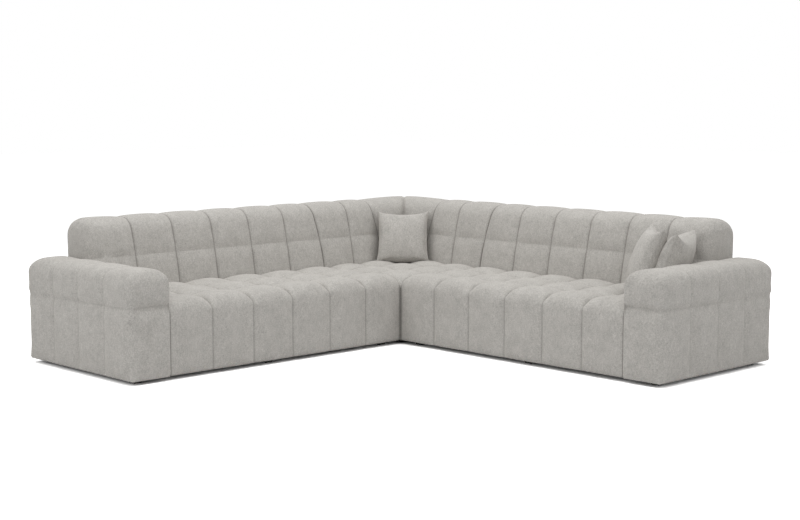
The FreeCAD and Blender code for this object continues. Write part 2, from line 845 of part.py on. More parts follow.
def corner_top_rails():
    """Rails on the posts, butted in the corner."""
    end = "(wing_depth - cloth - board)"
    heights = (POST_TOP, f"{POST_TOP} + top_rail_height")
    one = block("corner_top_rail_0", (FRAME_REAR, end), (FRAME_REAR, POST_FRONT), heights)
    other = block("corner_top_rail_1", (FRAME_REAR, POST_FRONT), (POST_FRONT, end), heights)
    return group("corner_back_top_rails", [one, other])


def corner_panels():
    """Hardboard panels behind the corner posts."""
    end = "(wing_depth - cloth)"
    heights = (RAIL_BOTTOM, f"{POST_TOP} + top_rail_height")
    one = block("corner_panel_0", ("rear_layer", end), ("rear_layer", FRAME_REAR), heights)
    other = block("corner_panel_1", ("rear_layer", FRAME_REAR), (FRAME_REAR, end), heights)
    return group("corner_back_panels", [one, other])


def corner_straps():
    """Straps of both corner backs."""
    members = straps("corner", STRAP_FRONT, "wing_depth - cloth - board")
    twins = [mirrored(member.Name + "_twin", member) for member in members]
    return group("corner_back_webbing", members + twins)


def connectors():
    """Steel plates under the joints that hold the modules together."""
    middles = [f"{POST_FRONT} + connector_length", f"{FRAME_FRONT} - connector_length"]
    span = ("wing_depth - connector_length / 2", "wing_depth + connector_length / 2")
    plates = []
    for rank, depth in enumerate(middles):
        plate = block(f"connector_plate_{rank}", span,
                      (f"{depth} - connector_width / 2", f"{depth} + connector_width / 2"),
                      ("foot_height - connector_sheet", "foot_height"))
        plates.append(plate)
        plates.append(mirrored(f"connector_plate_{rank}_twin", plate))
    return group("module_connectors", plates)


# Scatter cushions


# Share of the half width and of the half thickness at each ring of a cushion
PILLOW_RINGS = [(1.0, 0.0), (0.84, 0.58), (0.52, 1.0)]

# Direction of the outer back corner seen from the middle, in degrees from +X
TOWARD_CORNER = 135.0


def frustum(name, halves, heights):
    """Square frustum about the Z axis between two heights."""
    wedge = doc.addObject("Part::Wedge", name)
    low, high = halves
    for path, text in (("Xmin", f"-1 * {low}"), ("Xmax", low), ("Zmin", f"-1 * {low}"),
                       ("Zmax", low), ("X2min", f"-1 * {high}"), ("X2max", high),
                       ("Z2min", f"-1 * {high}"), ("Z2max", high),
                       ("Ymin", "0"), ("Ymax", f"({heights[1]}) - ({heights[0]})")):
        bind(wedge, path, text)
    wedge.Placement.Rotation = Rotation(Vector(1, 0, 0), 90)
    bind(wedge, "Placement.Base.z", heights[0])
    return wedge


def pillow_solid(name, shrink):
    """Cushion lying flat: a thin square edge with a stepped dome on each face."""
    halves = []
    heights = []
    for breadth, rise in PILLOW_RINGS:
        halves.append(f"({breadth} * pillow_width / 2 - {shrink})")
        heights.append(f"(pillow_edge / 2 + {rise} * (pillow_thickness - pillow_edge) / 2 - {shrink})")
    layers = [frustum(f"{name}_edge", (halves[0], halves[0]), (f"-1 * {heights[0]}", heights[0]))]
    for rank in range(len(PILLOW_RINGS) - 1):
        inner, outer = rank, rank + 1
        layers.append(frustum(f"{name}_upper_{rank}", (halves[inner], halves[outer]),
                              (heights[inner], heights[outer])))
        layers.append(frustum(f"{name}_lower_{rank}", (halves[outer], halves[inner]),
                              (f"-1 * {heights[outer]}", f"-1 * {heights[inner]}")))
    return fuse(name, layers)


def pillow(label):
    """Cover with its filling inside, both lying flat at the origin."""
    outer = pillow_solid(label + "_outer", "0")
    inner = pillow_solid(label + "_room", "pillow_cloth")
    cover = cut(label + "_cover", outer, [inner])
    filling = pillow_solid(label + "_filling", "pillow_cloth")
    return cover, filling


def lean(toward, tilt, roll, base):
    """Placement that stands a cushion on its lower edge and leans it over.

    toward is the direction in which its top leans, tilt is how far it leans,
    roll turns it in its own plane and base lies under its lower edge's middle.
    """
    turned = Rotation(Vector(0, 0, 1), toward + 180)
    upright = Rotation(Vector(0, 1, 0), 90 - tilt)
    rolled = Rotation(Vector(0, 0, 1), roll)
    middle = turned.multVec(upright.multVec(Vector(size("pillow_width") / 2, 0, 0)))
    return Placement(base - middle, turned.multiply(upright).multiply(rolled))


def on_seat(placement, solid):
    """The placement raised or lowered until the solid just clears the seat."""
    probe = solid.copy()
    probe.Placement = placement
    rise = size("seat_top") + size("pillow_gap") - probe.BoundBox.ZMin
    return Placement(placement.Base + Vector(0, 0, rise), placement.Rotation)


def place_pillows(cushions):
    """Stand the three cushions on the seat, clear of it, the back and the arm.

    Each gap is measured on the seat, from the foot of the back or of the arm to the
    middle of the lower edge of the cushion.
    """
    half = size("overall") / 2
    reach = size("back_base_depth") + size("corner_pillow_gap") / math.sqrt(2)
    turn = size("side_pillow_turn")
    outer = Vector(half - size("arm_width") - size("outer_pillow_arm_gap"),
                   half - size("back_base_depth") - size("outer_pillow_back_gap"), 0)
    step = Vector(math.cos(math.radians(turn)), math.sin(math.radians(turn)), 0)
    spots = {
        "corner_pillow": (TOWARD_CORNER, size("corner_pillow_lean"), 0,
                          Vector(reach - half, half - reach, 0)),
        "outer_pillow": (turn, size("side_pillow_lean"), 0, outer),
        "inner_pillow": (turn, size("side_pillow_lean"), size("inner_pillow_roll"),
                         outer - step * size("pillow_spacing")),
    }
    for label, (toward, tilt, roll, base) in spots.items():
        cover, filling = cushions[label]
        placement = on_seat(lean(toward, tilt, roll, base), cover.Base.Shape)
        cover.Placement = placement
        filling.Placement = placement


# The whole sofa

left = {
    "seat_cover": seat_cover(),
    "back_cover": back_cover(),
    "arm_cover": arm_cover(),
    "seat_foam": seat_foam(),
    "back_foam": back_foam(),
    "arm_foam": arm_foam(),
    "cross_rails": cross_rails(),
    "corner_blocks": corner_blocks(),
    "back_posts": back_posts(),
    "back_webbing": back_webbing(),
    "arm_frame": arm_frame(),
    "feet": feet("left", "wing_depth", "overall", "foot_pair_count"),
    "dust_cover": dust_cover("left_dust_cover", (FRAME_START, "overall - quilt"),
                             ("rear_layer", FRAME_FRONT)),
}
left["front_rail"], left["spring_rail"], left["rear_rail"] = rail_blocks()
left["back_top_rail"], left["back_panel"] = back_frame()
left["seat_springs"], left["spring_clips"] = spring_set(
    "left", f"{FRAME_START} + board", f"{FRAME_END} - board",
    "back_base_depth - board / 2", f"{FRAME_FRONT} - board / 2", "spring_count")

nodes = {f"left_{name}": piece for name, piece in left.items()}
for name, piece in left.items():
    nodes[f"right_{name}"] = mirrored(f"right_{name}", piece)

inner_edge = "wing_depth - cloth"
nodes["corner_seat_cover"] = corner_seat_cover()
nodes["corner_back_cover"] = corner_back_cover()
nodes["corner_seat_foam"] = block("corner_seat_foam", ("back_base_depth + cloth", inner_edge),
                                  ("back_base_depth + cloth", inner_edge),
                                  (CUSHION_BOTTOM, "seat_top - quilt"))
nodes["corner_back_foam"] = corner_back_foam()
nodes["corner_base_rails"] = corner_frame()
nodes["corner_back_posts"] = corner_posts()
nodes["corner_back_top_rails"] = corner_top_rails()
nodes["corner_back_panels"] = corner_panels()
nodes["corner_back_webbing"] = corner_straps()
nodes["corner_seat_springs"], nodes["corner_spring_clips"] = spring_set(
    "corner", "back_base_depth", f"{inner_edge} - board",
    "back_base_depth - board / 2", f"{inner_edge} - board / 2", "corner_spring_count")
nodes["corner_feet"] = feet("corner", "0", "wing_depth", "corner_foot_pair_count")
nodes["corner_dust_cover"] = dust_cover("corner_dust_cover", ("rear_layer", inner_edge),
                                        ("rear_layer", inner_edge))
nodes["module_connectors"] = connectors()

pillows = {label: pillow(label) for label in ("corner_pillow", "inner_pillow", "outer_pillow")}
doc.recompute()
place_pillows(pillows)
for label, (cover, filling) in pillows.items():
    nodes[f"{label}_cover"] = cover
    nodes[f"{label}_filling"] = filling

doc.recompute()
for name, piece in nodes.items():
    piece.Label = name

# Every object and every shape is tested before anything is written

for obj in doc.Objects:
    if "Invalid" in obj.State or "Error" in obj.State:
        raise RuntimeError(f"{obj.Name} failed: {obj.State} {obj.getStatusString()}")
for name, piece in nodes.items():
    shape = piece.Shape
    if shape.isNull() or not shape.isValid() or not shape.Solids:
        raise RuntimeError(f"{name} has no valid solid")

os.makedirs("parts", exist_ok=True)
for name, piece in sorted(nodes.items()):
    piece.Shape.exportStep(f"parts/{name}.step")
print(len(nodes), "nodes,", sum(len(piece.Shape.Solids) for piece in nodes.values()), "solids")
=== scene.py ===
"""Corner sofa: upholstery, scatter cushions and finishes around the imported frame.

Metres, +Z up, the floor at z = 0. Each wing has its own coordinates: along is
measured from the outer back corner, depth from the plane behind the back.
"""

import logging
import math
from collections.abc import Callable
from dataclasses import dataclass, field
from enum import Enum

import bpy
import numpy as np
from mathutils import Matrix, Vector


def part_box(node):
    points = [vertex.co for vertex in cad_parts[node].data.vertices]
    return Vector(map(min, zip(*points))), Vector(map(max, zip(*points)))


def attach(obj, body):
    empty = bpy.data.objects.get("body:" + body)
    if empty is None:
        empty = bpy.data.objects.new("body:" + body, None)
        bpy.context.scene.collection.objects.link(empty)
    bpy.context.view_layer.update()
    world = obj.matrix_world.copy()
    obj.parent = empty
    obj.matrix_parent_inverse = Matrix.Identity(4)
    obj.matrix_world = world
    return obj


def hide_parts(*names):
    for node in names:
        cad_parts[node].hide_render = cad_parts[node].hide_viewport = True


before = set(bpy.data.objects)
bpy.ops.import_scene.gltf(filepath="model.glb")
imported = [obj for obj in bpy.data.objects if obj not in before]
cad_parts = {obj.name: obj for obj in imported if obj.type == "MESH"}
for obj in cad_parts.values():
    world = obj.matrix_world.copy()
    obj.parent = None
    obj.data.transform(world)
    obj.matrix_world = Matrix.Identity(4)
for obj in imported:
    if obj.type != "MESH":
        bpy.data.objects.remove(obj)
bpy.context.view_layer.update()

LOG = logging.getLogger("corner_sofa")

HALF = 1.45
WING_DEPTH = 1.0
ARM_WIDTH = 0.25
BACK_FOOT = 0.322
HEM_HEIGHT = 0.022
SEAT_TOP = 0.425
COLUMNS = 6
COLUMN = (2 * HALF - WING_DEPTH - ARM_WIDTH) / COLUMNS
TILE = 0.25
ARM_START = 2 * HALF - ARM_WIDTH
WING_SEAMS = [WING_DEPTH + COLUMN * rank for rank in range(COLUMNS + 1)]

Pair = tuple[float, float]


def mm(value: float) -> float:
    """Millimetres as metres."""
    return value / 1000.0


# Half the width of a seam's painted shade line, and of the strip that its stitches hold still
SEAM_REACH = mm(6)
HOLD_REACH = mm(20)
# How much the cells of a grid crowd towards its seams, from 0 to 1
CROWDING = 0.85


def linear(code: str) -> tuple[float, float, float, float]:
    """An sRGB hex colour as the linear RGBA that a shader socket takes.

    Args:
        code: Six hex digits with or without a leading hash.

    Returns:
        Linear red, green and blue, and an alpha of 1.
    """
    code = code.lstrip("#")
    channels = []
    for start in (0, 2, 4):
        share = int(code[start:start + 2], 16) / 255.0
        channels.append(share / 12.92 if share <= 0.04045 else ((share + 0.055) / 1.055) ** 2.4)
    return (channels[0], channels[1], channels[2], 1.0)


# Shapes


class Side(Enum):
    """Which wing a piece belongs to."""

    LEFT = "left"
    RIGHT = "right"

    def to_row(self, place: np.ndarray) -> np.ndarray:
        """Places in wing coordinates as points in the row frame.

        Args:
            place: Along, depth and height in the last axis.

        Returns:
            An array whose last axis is x, y and z.
        """
        along, depth, height = place[..., 0], place[..., 1], place[..., 2]
        if self is Side.LEFT:
            return np.stack([depth - HALF, HALF - along, height], axis=-1)
        return np.stack([along - HALF, HALF - depth, height], axis=-1)


class Path2D:
    """Open line through corners with rounded turns, measured by its own length."""

    STEPS_PER_TURN = 24

    def __init__(self, corners: list[Pair], radii: list[float]) -> None:
        """Round the inner corners and measure the line.

        Args:
            corners: Points of the line, its two ends included.
            radii: Radius at each inner corner.
        """
        points = [np.array(corners[0])]
        for rank, radius in enumerate(radii, start=1):
            before, corner, after = (np.array(corners[rank + step]) for step in (-1, 0, 1))
            points.extend(self._turn(before, corner, after, radius))
        points.append(np.array(corners[-1]))
        self.points = np.array(points)
        steps = np.linalg.norm(np.diff(self.points, axis=0), axis=1)
        self.arc = np.concatenate([[0.0], np.cumsum(steps)])
        self.length = float(self.arc[-1])

    def _turn(self, before: np.ndarray, corner: np.ndarray, after: np.ndarray,
              radius: float) -> list[np.ndarray]:
        """Points on the arc that replaces one corner.

        Args:
            before: The point before the corner.
            corner: The corner.
            after: The point after it.
            radius: Radius of the arc.

        Returns:
            The arc's points in order.
        """
        one = (before - corner) / np.linalg.norm(before - corner)
        two = (after - corner) / np.linalg.norm(after - corner)
        half = math.acos(float(np.clip(one @ two, -1, 1))) / 2
        reach = radius / math.tan(half)
        start, end = corner + one * reach, corner + two * reach
        middle = corner + (one + two) / np.linalg.norm(one + two) * radius / math.sin(half)
        first, last = start - middle, end - middle
        sweep = math.pi - 2 * half
        turn = math.copysign(sweep, first[0] * last[1] - first[1] * last[0])
        arc = []
        for step in range(self.STEPS_PER_TURN + 1):
            angle = turn * step / self.STEPS_PER_TURN
            cos, sin = math.cos(angle), math.sin(angle)
            arc.append(middle + np.array([first[0] * cos - first[1] * sin,
                                          first[0] * sin + first[1] * cos]))
        return arc

    def at(self, stations: np.ndarray) -> tuple[np.ndarray, np.ndarray]:
        """Points and unit normals at distances along the line.

        Args:
            stations: Distances from the start.

        Returns:
            Points and the normals on the line's left, both n by 2.
        """
        points = np.stack([np.interp(stations, self.arc, self.points[:, k]) for k in (0, 1)], -1)
        step = mm(1.5)
        low, high = np.maximum(stations - step, 0), np.minimum(stations + step, self.length)
        ahead = np.stack([np.interp(high, self.arc, self.points[:, k])
                          - np.interp(low, self.arc, self.points[:, k]) for k in (0, 1)], -1)
        ahead /= np.linalg.norm(ahead, axis=1, keepdims=True)
        return points, np.stack([-ahead[:, 1], ahead[:, 0]], -1)

    def where(self, axis: int, value: float, last: bool = False) -> float:
        """Distance at which the line first or last passes a coordinate.

        Args:
            axis: 0 for the first coordinate, 1 for the second.
            value: The coordinate's value there.
            last: Take the last passing instead of the first.

        Returns:
            The distance from the line's start.
        """
        line = self.points[:, axis] - value
        spots = np.nonzero(line[:-1] * line[1:] <= 0)[0]
        spot = spots[-1] if last else spots[0]
        rise = line[spot + 1] - line[spot]
        share = 0.0 if abs(rise) < 1e-12 else -line[spot] / rise
        return float(self.arc[spot] + share * (self.arc[spot + 1] - self.arc[spot]))


def stations(marks: list[float], cell: float) -> np.ndarray:
    """Distances that crowd towards each mark, where the seams need fine cells.

    Args:
        marks: Ends and seams in order.
        cell: Usual distance between two stations.

    Returns:
        All stations, the marks among them.
    """
    found = [np.array([marks[0]])]
    for start, end in zip(marks, marks[1:]):
        count = max(4, round((end - start) / cell))
        even = np.arange(1, count + 1) / count
        share = CROWDING * (0.5 - 0.5 * np.cos(np.pi * even)) + (1 - CROWDING) * even
        found.append(start + (end - start) * share)
    return np.concatenate(found)


def swell(share: np.ndarray, fullness: float) -> np.ndarray:
    """Height of a stuffed channel, from 0 at its seam to 1 in its middle.

    Args:
        share: 0 at the seam and 1 at the middle of the channel.
        fullness: 2 for a round section, more for a flatter and fuller one.

    Returns:
        The height as a share of the full height.
    """
    share = np.clip(share, 0.0, 1.0)
    return (1.0 - (1.0 - share) ** fullness) ** (1.0 / fullness)


def from_seams(place: np.ndarray, seams: list[float]) -> np.ndarray:
    """How far each place is from its nearest seam.

    Args:
        place: Places across the seams.
        seams: Places of the seams in order.

    Returns:
        Shares of half a channel: 0 on a seam and 1 halfway between two.
    """
    edges = np.array(seams)
    rank = np.clip(np.searchsorted(edges, place, side="right") - 1, 0, len(edges) - 2)
    low, high = edges[rank], edges[rank + 1]
    return np.clip(np.minimum(place - low, high - place) / (high - low) * 2, 0.0, 1.0)


def sewn_line(place: np.ndarray, seams: list[float], reach: float) -> np.ndarray:
    """1 on a seam, falling to 0 at the given distance from it."""
    gap = np.min(np.abs(place[:, None] - np.array(seams)[None, :]), axis=1)
    return np.clip(1.0 - gap / reach, 0.0, 1.0)


def crease(distance: np.ndarray, width: float) -> np.ndarray:
    """A soft valley: 1 in its middle and 0 beyond its width."""
    share = np.clip(np.abs(distance) / width, 0.0, 1.0)
    return (1.0 - share) ** 2 * (1.0 + 0.5 * share)


def table_faces(table: np.ndarray) -> list[tuple[int, ...]]:
    """Quads between the vertices whose numbers stand side by side in a table."""
    corners = [table[:-1, :-1], table[:-1, 1:], table[1:, 1:], table[1:, :-1]]
    return [tuple(face) for face in np.stack(corners, axis=-1).reshape(-1, 4).tolist()]


def grid_faces(rows: int, columns: int) -> list[tuple[int, ...]]:
    """Quads between the vertices of a grid stored row by row."""
    return table_faces(np.arange(rows * columns).reshape(rows, columns))


# Shares of the way across a closed end. They crowd at both edges, which keeps the edges crisp.
END_SHARES = np.array([0.01, 0.05, 0.16, 0.32, 0.5, 0.68, 0.84, 0.95, 0.99])


def closing_grid(edge: np.ndarray, index: np.ndarray, start: int, first: int = 0,
                 arch: float | None = None) -> tuple[np.ndarray, list[tuple[int, ...]]]:
    """Grid that closes an end between the two halves of its edge.

    Args:
        edge: Points of the edge in order, n by 3, the last coordinate its height.
        index: Vertex number of each of them.
        start: Vertex number of the grid's own first vertex.
        first: The lowest point of the edge that the grid joins.
        arch: Height above which the rows bow down, so that they stay apart under a flat top.

    Returns:
        The grid's own points and its faces.
    """
    taken = np.arange(first, len(edge) // 2)
    other = len(edge) - 1 - taken
    one, two = edge[taken], edge[other]
    share = END_SHARES[None, :, None]
    inner = (one[:, None, :] * (1 - share) + two[:, None, :] * share)[:-1]
    if arch is not None:
        height = one[:, 2]
        arc = np.concatenate([[0.0], np.cumsum(np.linalg.norm(np.diff(one, axis=0), axis=1))])
        begin = np.interp(arch, height, arc)
        bowed = arch + (height[-1] - arch) * (arc - begin) / (arc[-1] - begin)
        bow = np.where(height > arch, bowed - height, 0.0)[:-1]
        inner[:, :, 2] += bow[:, None] * (4 * share * (1 - share))[0, :, 0]
    table = np.zeros((len(taken) - 1, len(END_SHARES) + 2), int)
    table[:, 0], table[:, -1] = index[taken[:-1]], index[other[:-1]]
    table[:, 1:-1] = start + np.arange(inner.shape[0] * inner.shape[1]).reshape(len(table), -1)
    last = tuple(int(spot) for spot in (*table[-1], index[other[-1]], index[taken[-1]]))
    return inner.reshape(-1, 3), [last, *table_faces(table)]


def new_mesh(name: str, points: np.ndarray, faces: list[tuple[int, ...]],
             seam: np.ndarray | None = None) -> bpy.types.Object:
    """A smooth-shaded mesh object in the row frame.

    Args:
        name: The object's name.
        points: Vertex places, n by 3.
        faces: Vertex indices of each face.
        seam: How much painted shade each vertex gets along seams and creases, from 0 to 1.

    Returns:
        The object, linked to the scene.
    """
    mesh = bpy.data.meshes.new(name)
    mesh.from_pydata([tuple(point) for point in points], [], faces)
    mesh.validate()
    mesh.polygons.foreach_set("use_smooth", [True] * len(mesh.polygons))
    if seam is not None:
        # The painted seam shade, which the fabric reads
        layer = mesh.attributes.new("seam", "FLOAT", "POINT")
        layer.data.foreach_set("value", seam.astype(np.float32))
    mesh.update()
    piece = bpy.data.objects.new(name, mesh)
    bpy.context.scene.collection.objects.link(piece)
    return piece


def vectors(rows: bpy.types.bpy_prop_collection, name: str) -> np.ndarray:
    """One vector from every row of a mesh's table.

    Args:
        rows: The table, such as the mesh's vertices.
        name: The vector's name in each row.

    Returns:
        The vectors, n by 3.
    """
    flat = np.zeros(len(rows) * 3, np.float32)
    rows.foreach_get(name, flat)
    return flat.reshape(-1, 3).astype(float)


def set_vertices(piece: bpy.types.Object, points: np.ndarray) -> None:
    """Give a mesh object new vertex places."""
    piece.data.vertices.foreach_set("co", points.astype(np.float32).ravel())
    piece.data.update()


def smooth_mesh(piece: bpy.types.Object) -> None:
    """Subdivide a mesh once, smoothly, and keep the result.

    Args:
        piece: The mesh object.
    """
    modifier = piece.modifiers.new("smooth", "SUBSURF")
    modifier.levels = modifier.render_levels = 1
    keep_modifiers(piece)


def cover_with(piece: bpy.types.Object, material: bpy.types.Material) -> None:
    """Give a mesh object one material in place of all that it has."""
    piece.data.materials.clear()
    piece.data.materials.append(material)


def keep_modifiers(piece: bpy.types.Object) -> None:
    """Replace a piece's mesh by the one that its modifiers give now.

    Args:
        piece: The mesh object.
    """
    evaluated = piece.evaluated_get(bpy.context.evaluated_depsgraph_get())
    mesh = bpy.data.meshes.new_from_object(evaluated)
    piece.modifiers.clear()
    piece.data = mesh
    mesh.polygons.foreach_set("use_smooth", [True] * len(mesh.polygons))
    mesh.update()


@dataclass(frozen=True)
class Stuffing:
    """How a padded piece is blown up by cloth simulation."""

    pressure: float = 4.0
    slack: float = 0.0
    stretch: float = 20.0
    bend: float = 1.0
    frames: int = 16
    cap: float = mm(6)
    mass: float = 0.3
    quality: int = 5

    def blow(self, piece: bpy.types.Object, pins: np.ndarray | None) -> None:
        """Let the fabric settle under pressure from inside, within the cap.

        Args:
            piece: Mesh whose faces look outwards.
            pins: Weight from 0 to 1 that holds each vertex where it is sewn down.
        """
        before = vectors(piece.data.vertices, "co")
        cloth = piece.modifiers.new("stuffing", "CLOTH")
        settings = cloth.settings
        settings.quality = self.quality
        settings.mass = self.mass
        settings.tension_stiffness = settings.compression_stiffness = self.stretch
        settings.shear_stiffness = self.stretch / 2
        settings.bending_stiffness = self.bend
        settings.use_pressure = True
        settings.uniform_pressure_force = self.pressure
        settings.shrink_min = -self.slack
        settings.effector_weights.gravity = 0.0
        if pins is not None:
            group = piece.vertex_groups.new(name="sewn")
            for index, weight in enumerate(pins):
                if weight > 0.01:
                    group.add([index], float(weight), "REPLACE")
            settings.vertex_group_mass = "sewn"
        cloth.point_cache.frame_start = 1
        cloth.point_cache.frame_end = self.frames
        scene = bpy.context.scene
        for number in range(1, self.frames + 1):
            scene.frame_set(number)
        keep_modifiers(piece)
        scene.frame_set(1)
        piece.vertex_groups.clear()
        move = vectors(piece.data.vertices, "co") - before
        length = np.linalg.norm(move, axis=1, keepdims=True)
        move *= np.minimum(1.0, self.cap / np.maximum(length, 1e-9))
        set_vertices(piece, before + move)


@dataclass(frozen=True)
class End:
    """One end of a swept shape and how round its edge is on each side.

    Low and high are the sides that face down and up the section's first coordinate.
    """

    place: float
    low: float
    high: float
    top: float

    def radius(self, normal: np.ndarray) -> np.ndarray:
        """Radius of the edge for each direction that the section faces.

        Args:
            normal: Unit normals in the section, last axis of two.

        Returns:
            The radii.
        """
        up = np.clip(normal[..., 1], 0, 1) ** 2
        side = np.where(normal[..., 0] > 0, self.high, self.low)
        return self.top * up + side * (1 - up)


@dataclass(frozen=True)
class Closing:
    """The grid that closes one end of a sweep."""

    way: int
    index: np.ndarray
    start: int
    inner: np.ndarray
    held: bool
    first: int
    arch: float | None


class Sweep:
    """A section line swept along a straight run, kept in the piece's own coordinates.

    The three coordinates of a vertex are its place along the run and its two
    coordinates in the section.
    """

    def __init__(self, path: Path2D, cross: np.ndarray, run: np.ndarray) -> None:
        """Lay out the grid before its ends are rounded.

        Args:
            path: The section line, outwards on its left.
            cross: Distances along the section line.
            run: Places along the run, one list for all or one row for each distance.
        """
        points, normals = path.at(cross)
        rows = len(cross)
        self.run = np.tile(run, (rows, 1)) if run.ndim == 1 else run.copy()
        columns = self.run.shape[1]
        self.section = np.repeat(points[:, None, :], columns, axis=1)
        self.normal = np.zeros((rows, columns, 3))
        self.normal[:, :, 1:] = normals[:, None, :]
        self.base = self.normal[:, :, 1:].copy()
        self.faces = grid_faces(rows, columns)
        self.closings: list[Closing] = []
        self.held = np.zeros(rows * columns)

    def round_end(self, end: End, way: int) -> None:
        """Draw the section in towards one end along a quarter circle.

        Args:
            end: Where the run ends and the radii there.
            way: 1 where the run grows towards the end, else -1.
        """
        radius = np.maximum(end.radius(self.base), mm(1))
        share = np.clip((way * (self.run - end.place) + radius) / radius, 0.0, 1.0)
        level = np.sqrt(1.0 - share ** 2)
        # The hem keeps its height, so nothing is drawn upwards there
        inward = self.base * (radius * (1.0 - level))[:, :, None]
        inward[:, :, 1] = np.maximum(inward[:, :, 1], 0.0)
        self.section -= inward
        self.normal[:, :, 1:] *= level[:, :, None]
        self.normal[:, :, 0] += way * share

    def cap(self, way: int, held: bool = False, first: int = 0, arch: float | None = None) -> None:
        """Close one end with a grid between the two halves of its edge.

        Args:
            way: 1 for the far end, -1 for the near one.
            held: Keep the grid flat, where a neighbour stands against it.
            first: The lowest row of the section line that the grid joins.
            arch: Height above which the rows bow down, so that they stay apart under a flat top.
        """
        rows, columns = self.run.shape
        column = columns - 1 if way > 0 else 0
        index = np.arange(rows) * columns + column
        edge = self.grid()[index]
        inner, found = closing_grid(edge, index, len(self.held), first, arch)
        self.faces.extend(face if way > 0 else face[::-1] for face in found)
        self.closings.append(Closing(way, index, len(self.held), inner, held, first, arch))
        self.held[index] = np.maximum(self.held[index], float(held))
        self.held = np.concatenate([self.held, np.full(len(inner), float(held))])

    def grid(self) -> np.ndarray:
        """Vertices of the swept surface itself, n by 3."""
        return np.concatenate([self.run[:, :, None], self.section], axis=2).reshape(-1, 3)

    def pulled(self, depth: np.ndarray) -> np.ndarray:
        """All vertices after the seams have drawn them in.

        Args:
            depth: How far each vertex moves against its normal.

        Returns:
            The moved vertices. A closed end follows its edge.
        """
        place, normal = self.vertices()
        moved = place - normal * depth[:, None]
        for end in self.closings:
            inner = closing_grid(moved[end.index], end.index, end.start, end.first, end.arch)[0]
            rows = slice(end.start, end.start + len(inner))
            drawn = 0.0 if end.held else normal[rows] * depth[rows, None]
            moved[rows] = inner - drawn
        return moved

    def vertices(self) -> tuple[np.ndarray, np.ndarray]:
        """All vertices and their outward normals.

        Returns:
            Two arrays, both n by 3.
        """
        normals = [np.tile([float(end.way), 0.0, 0.0], (len(end.inner), 1)) for end in self.closings]
        return (np.concatenate([self.grid(), *(end.inner for end in self.closings)]),
                np.concatenate([self.normal.reshape(-1, 3), *normals]))


@dataclass(frozen=True)
class Pull:
    """How far the seams draw the fabric in at each vertex, the painted shade of its line and its hold
    there.
    """

    depth: np.ndarray
    # Strength of the painted shade along the seams and creases
    line: np.ndarray
    hold: np.ndarray


def mirrored_piece(piece: bpy.types.Object, name: str) -> bpy.types.Object:
    """The same piece on the other wing.

    Args:
        piece: A piece of the left wing, in the row frame.
        name: Name of the new piece.

    Returns:
        The new piece, with the same materials.
    """
    mesh = piece.data.copy()
    mesh.transform(Matrix(((0, -1, 0, 0), (-1, 0, 0, 0), (0, 0, 1, 0), (0, 0, 0, 1))))
    mesh.flip_normals()
    twin = bpy.data.objects.new(name, mesh)
    bpy.context.scene.collection.objects.link(twin)
    return twin


def face_outwards(piece: bpy.types.Object, wanted: np.ndarray) -> None:
    """Turn a mesh over if its normals point against the wanted ones."""
    if float((vectors(piece.data.vertex_normals, "vector") * wanted).sum()) < 0:
        piece.data.flip_normals()


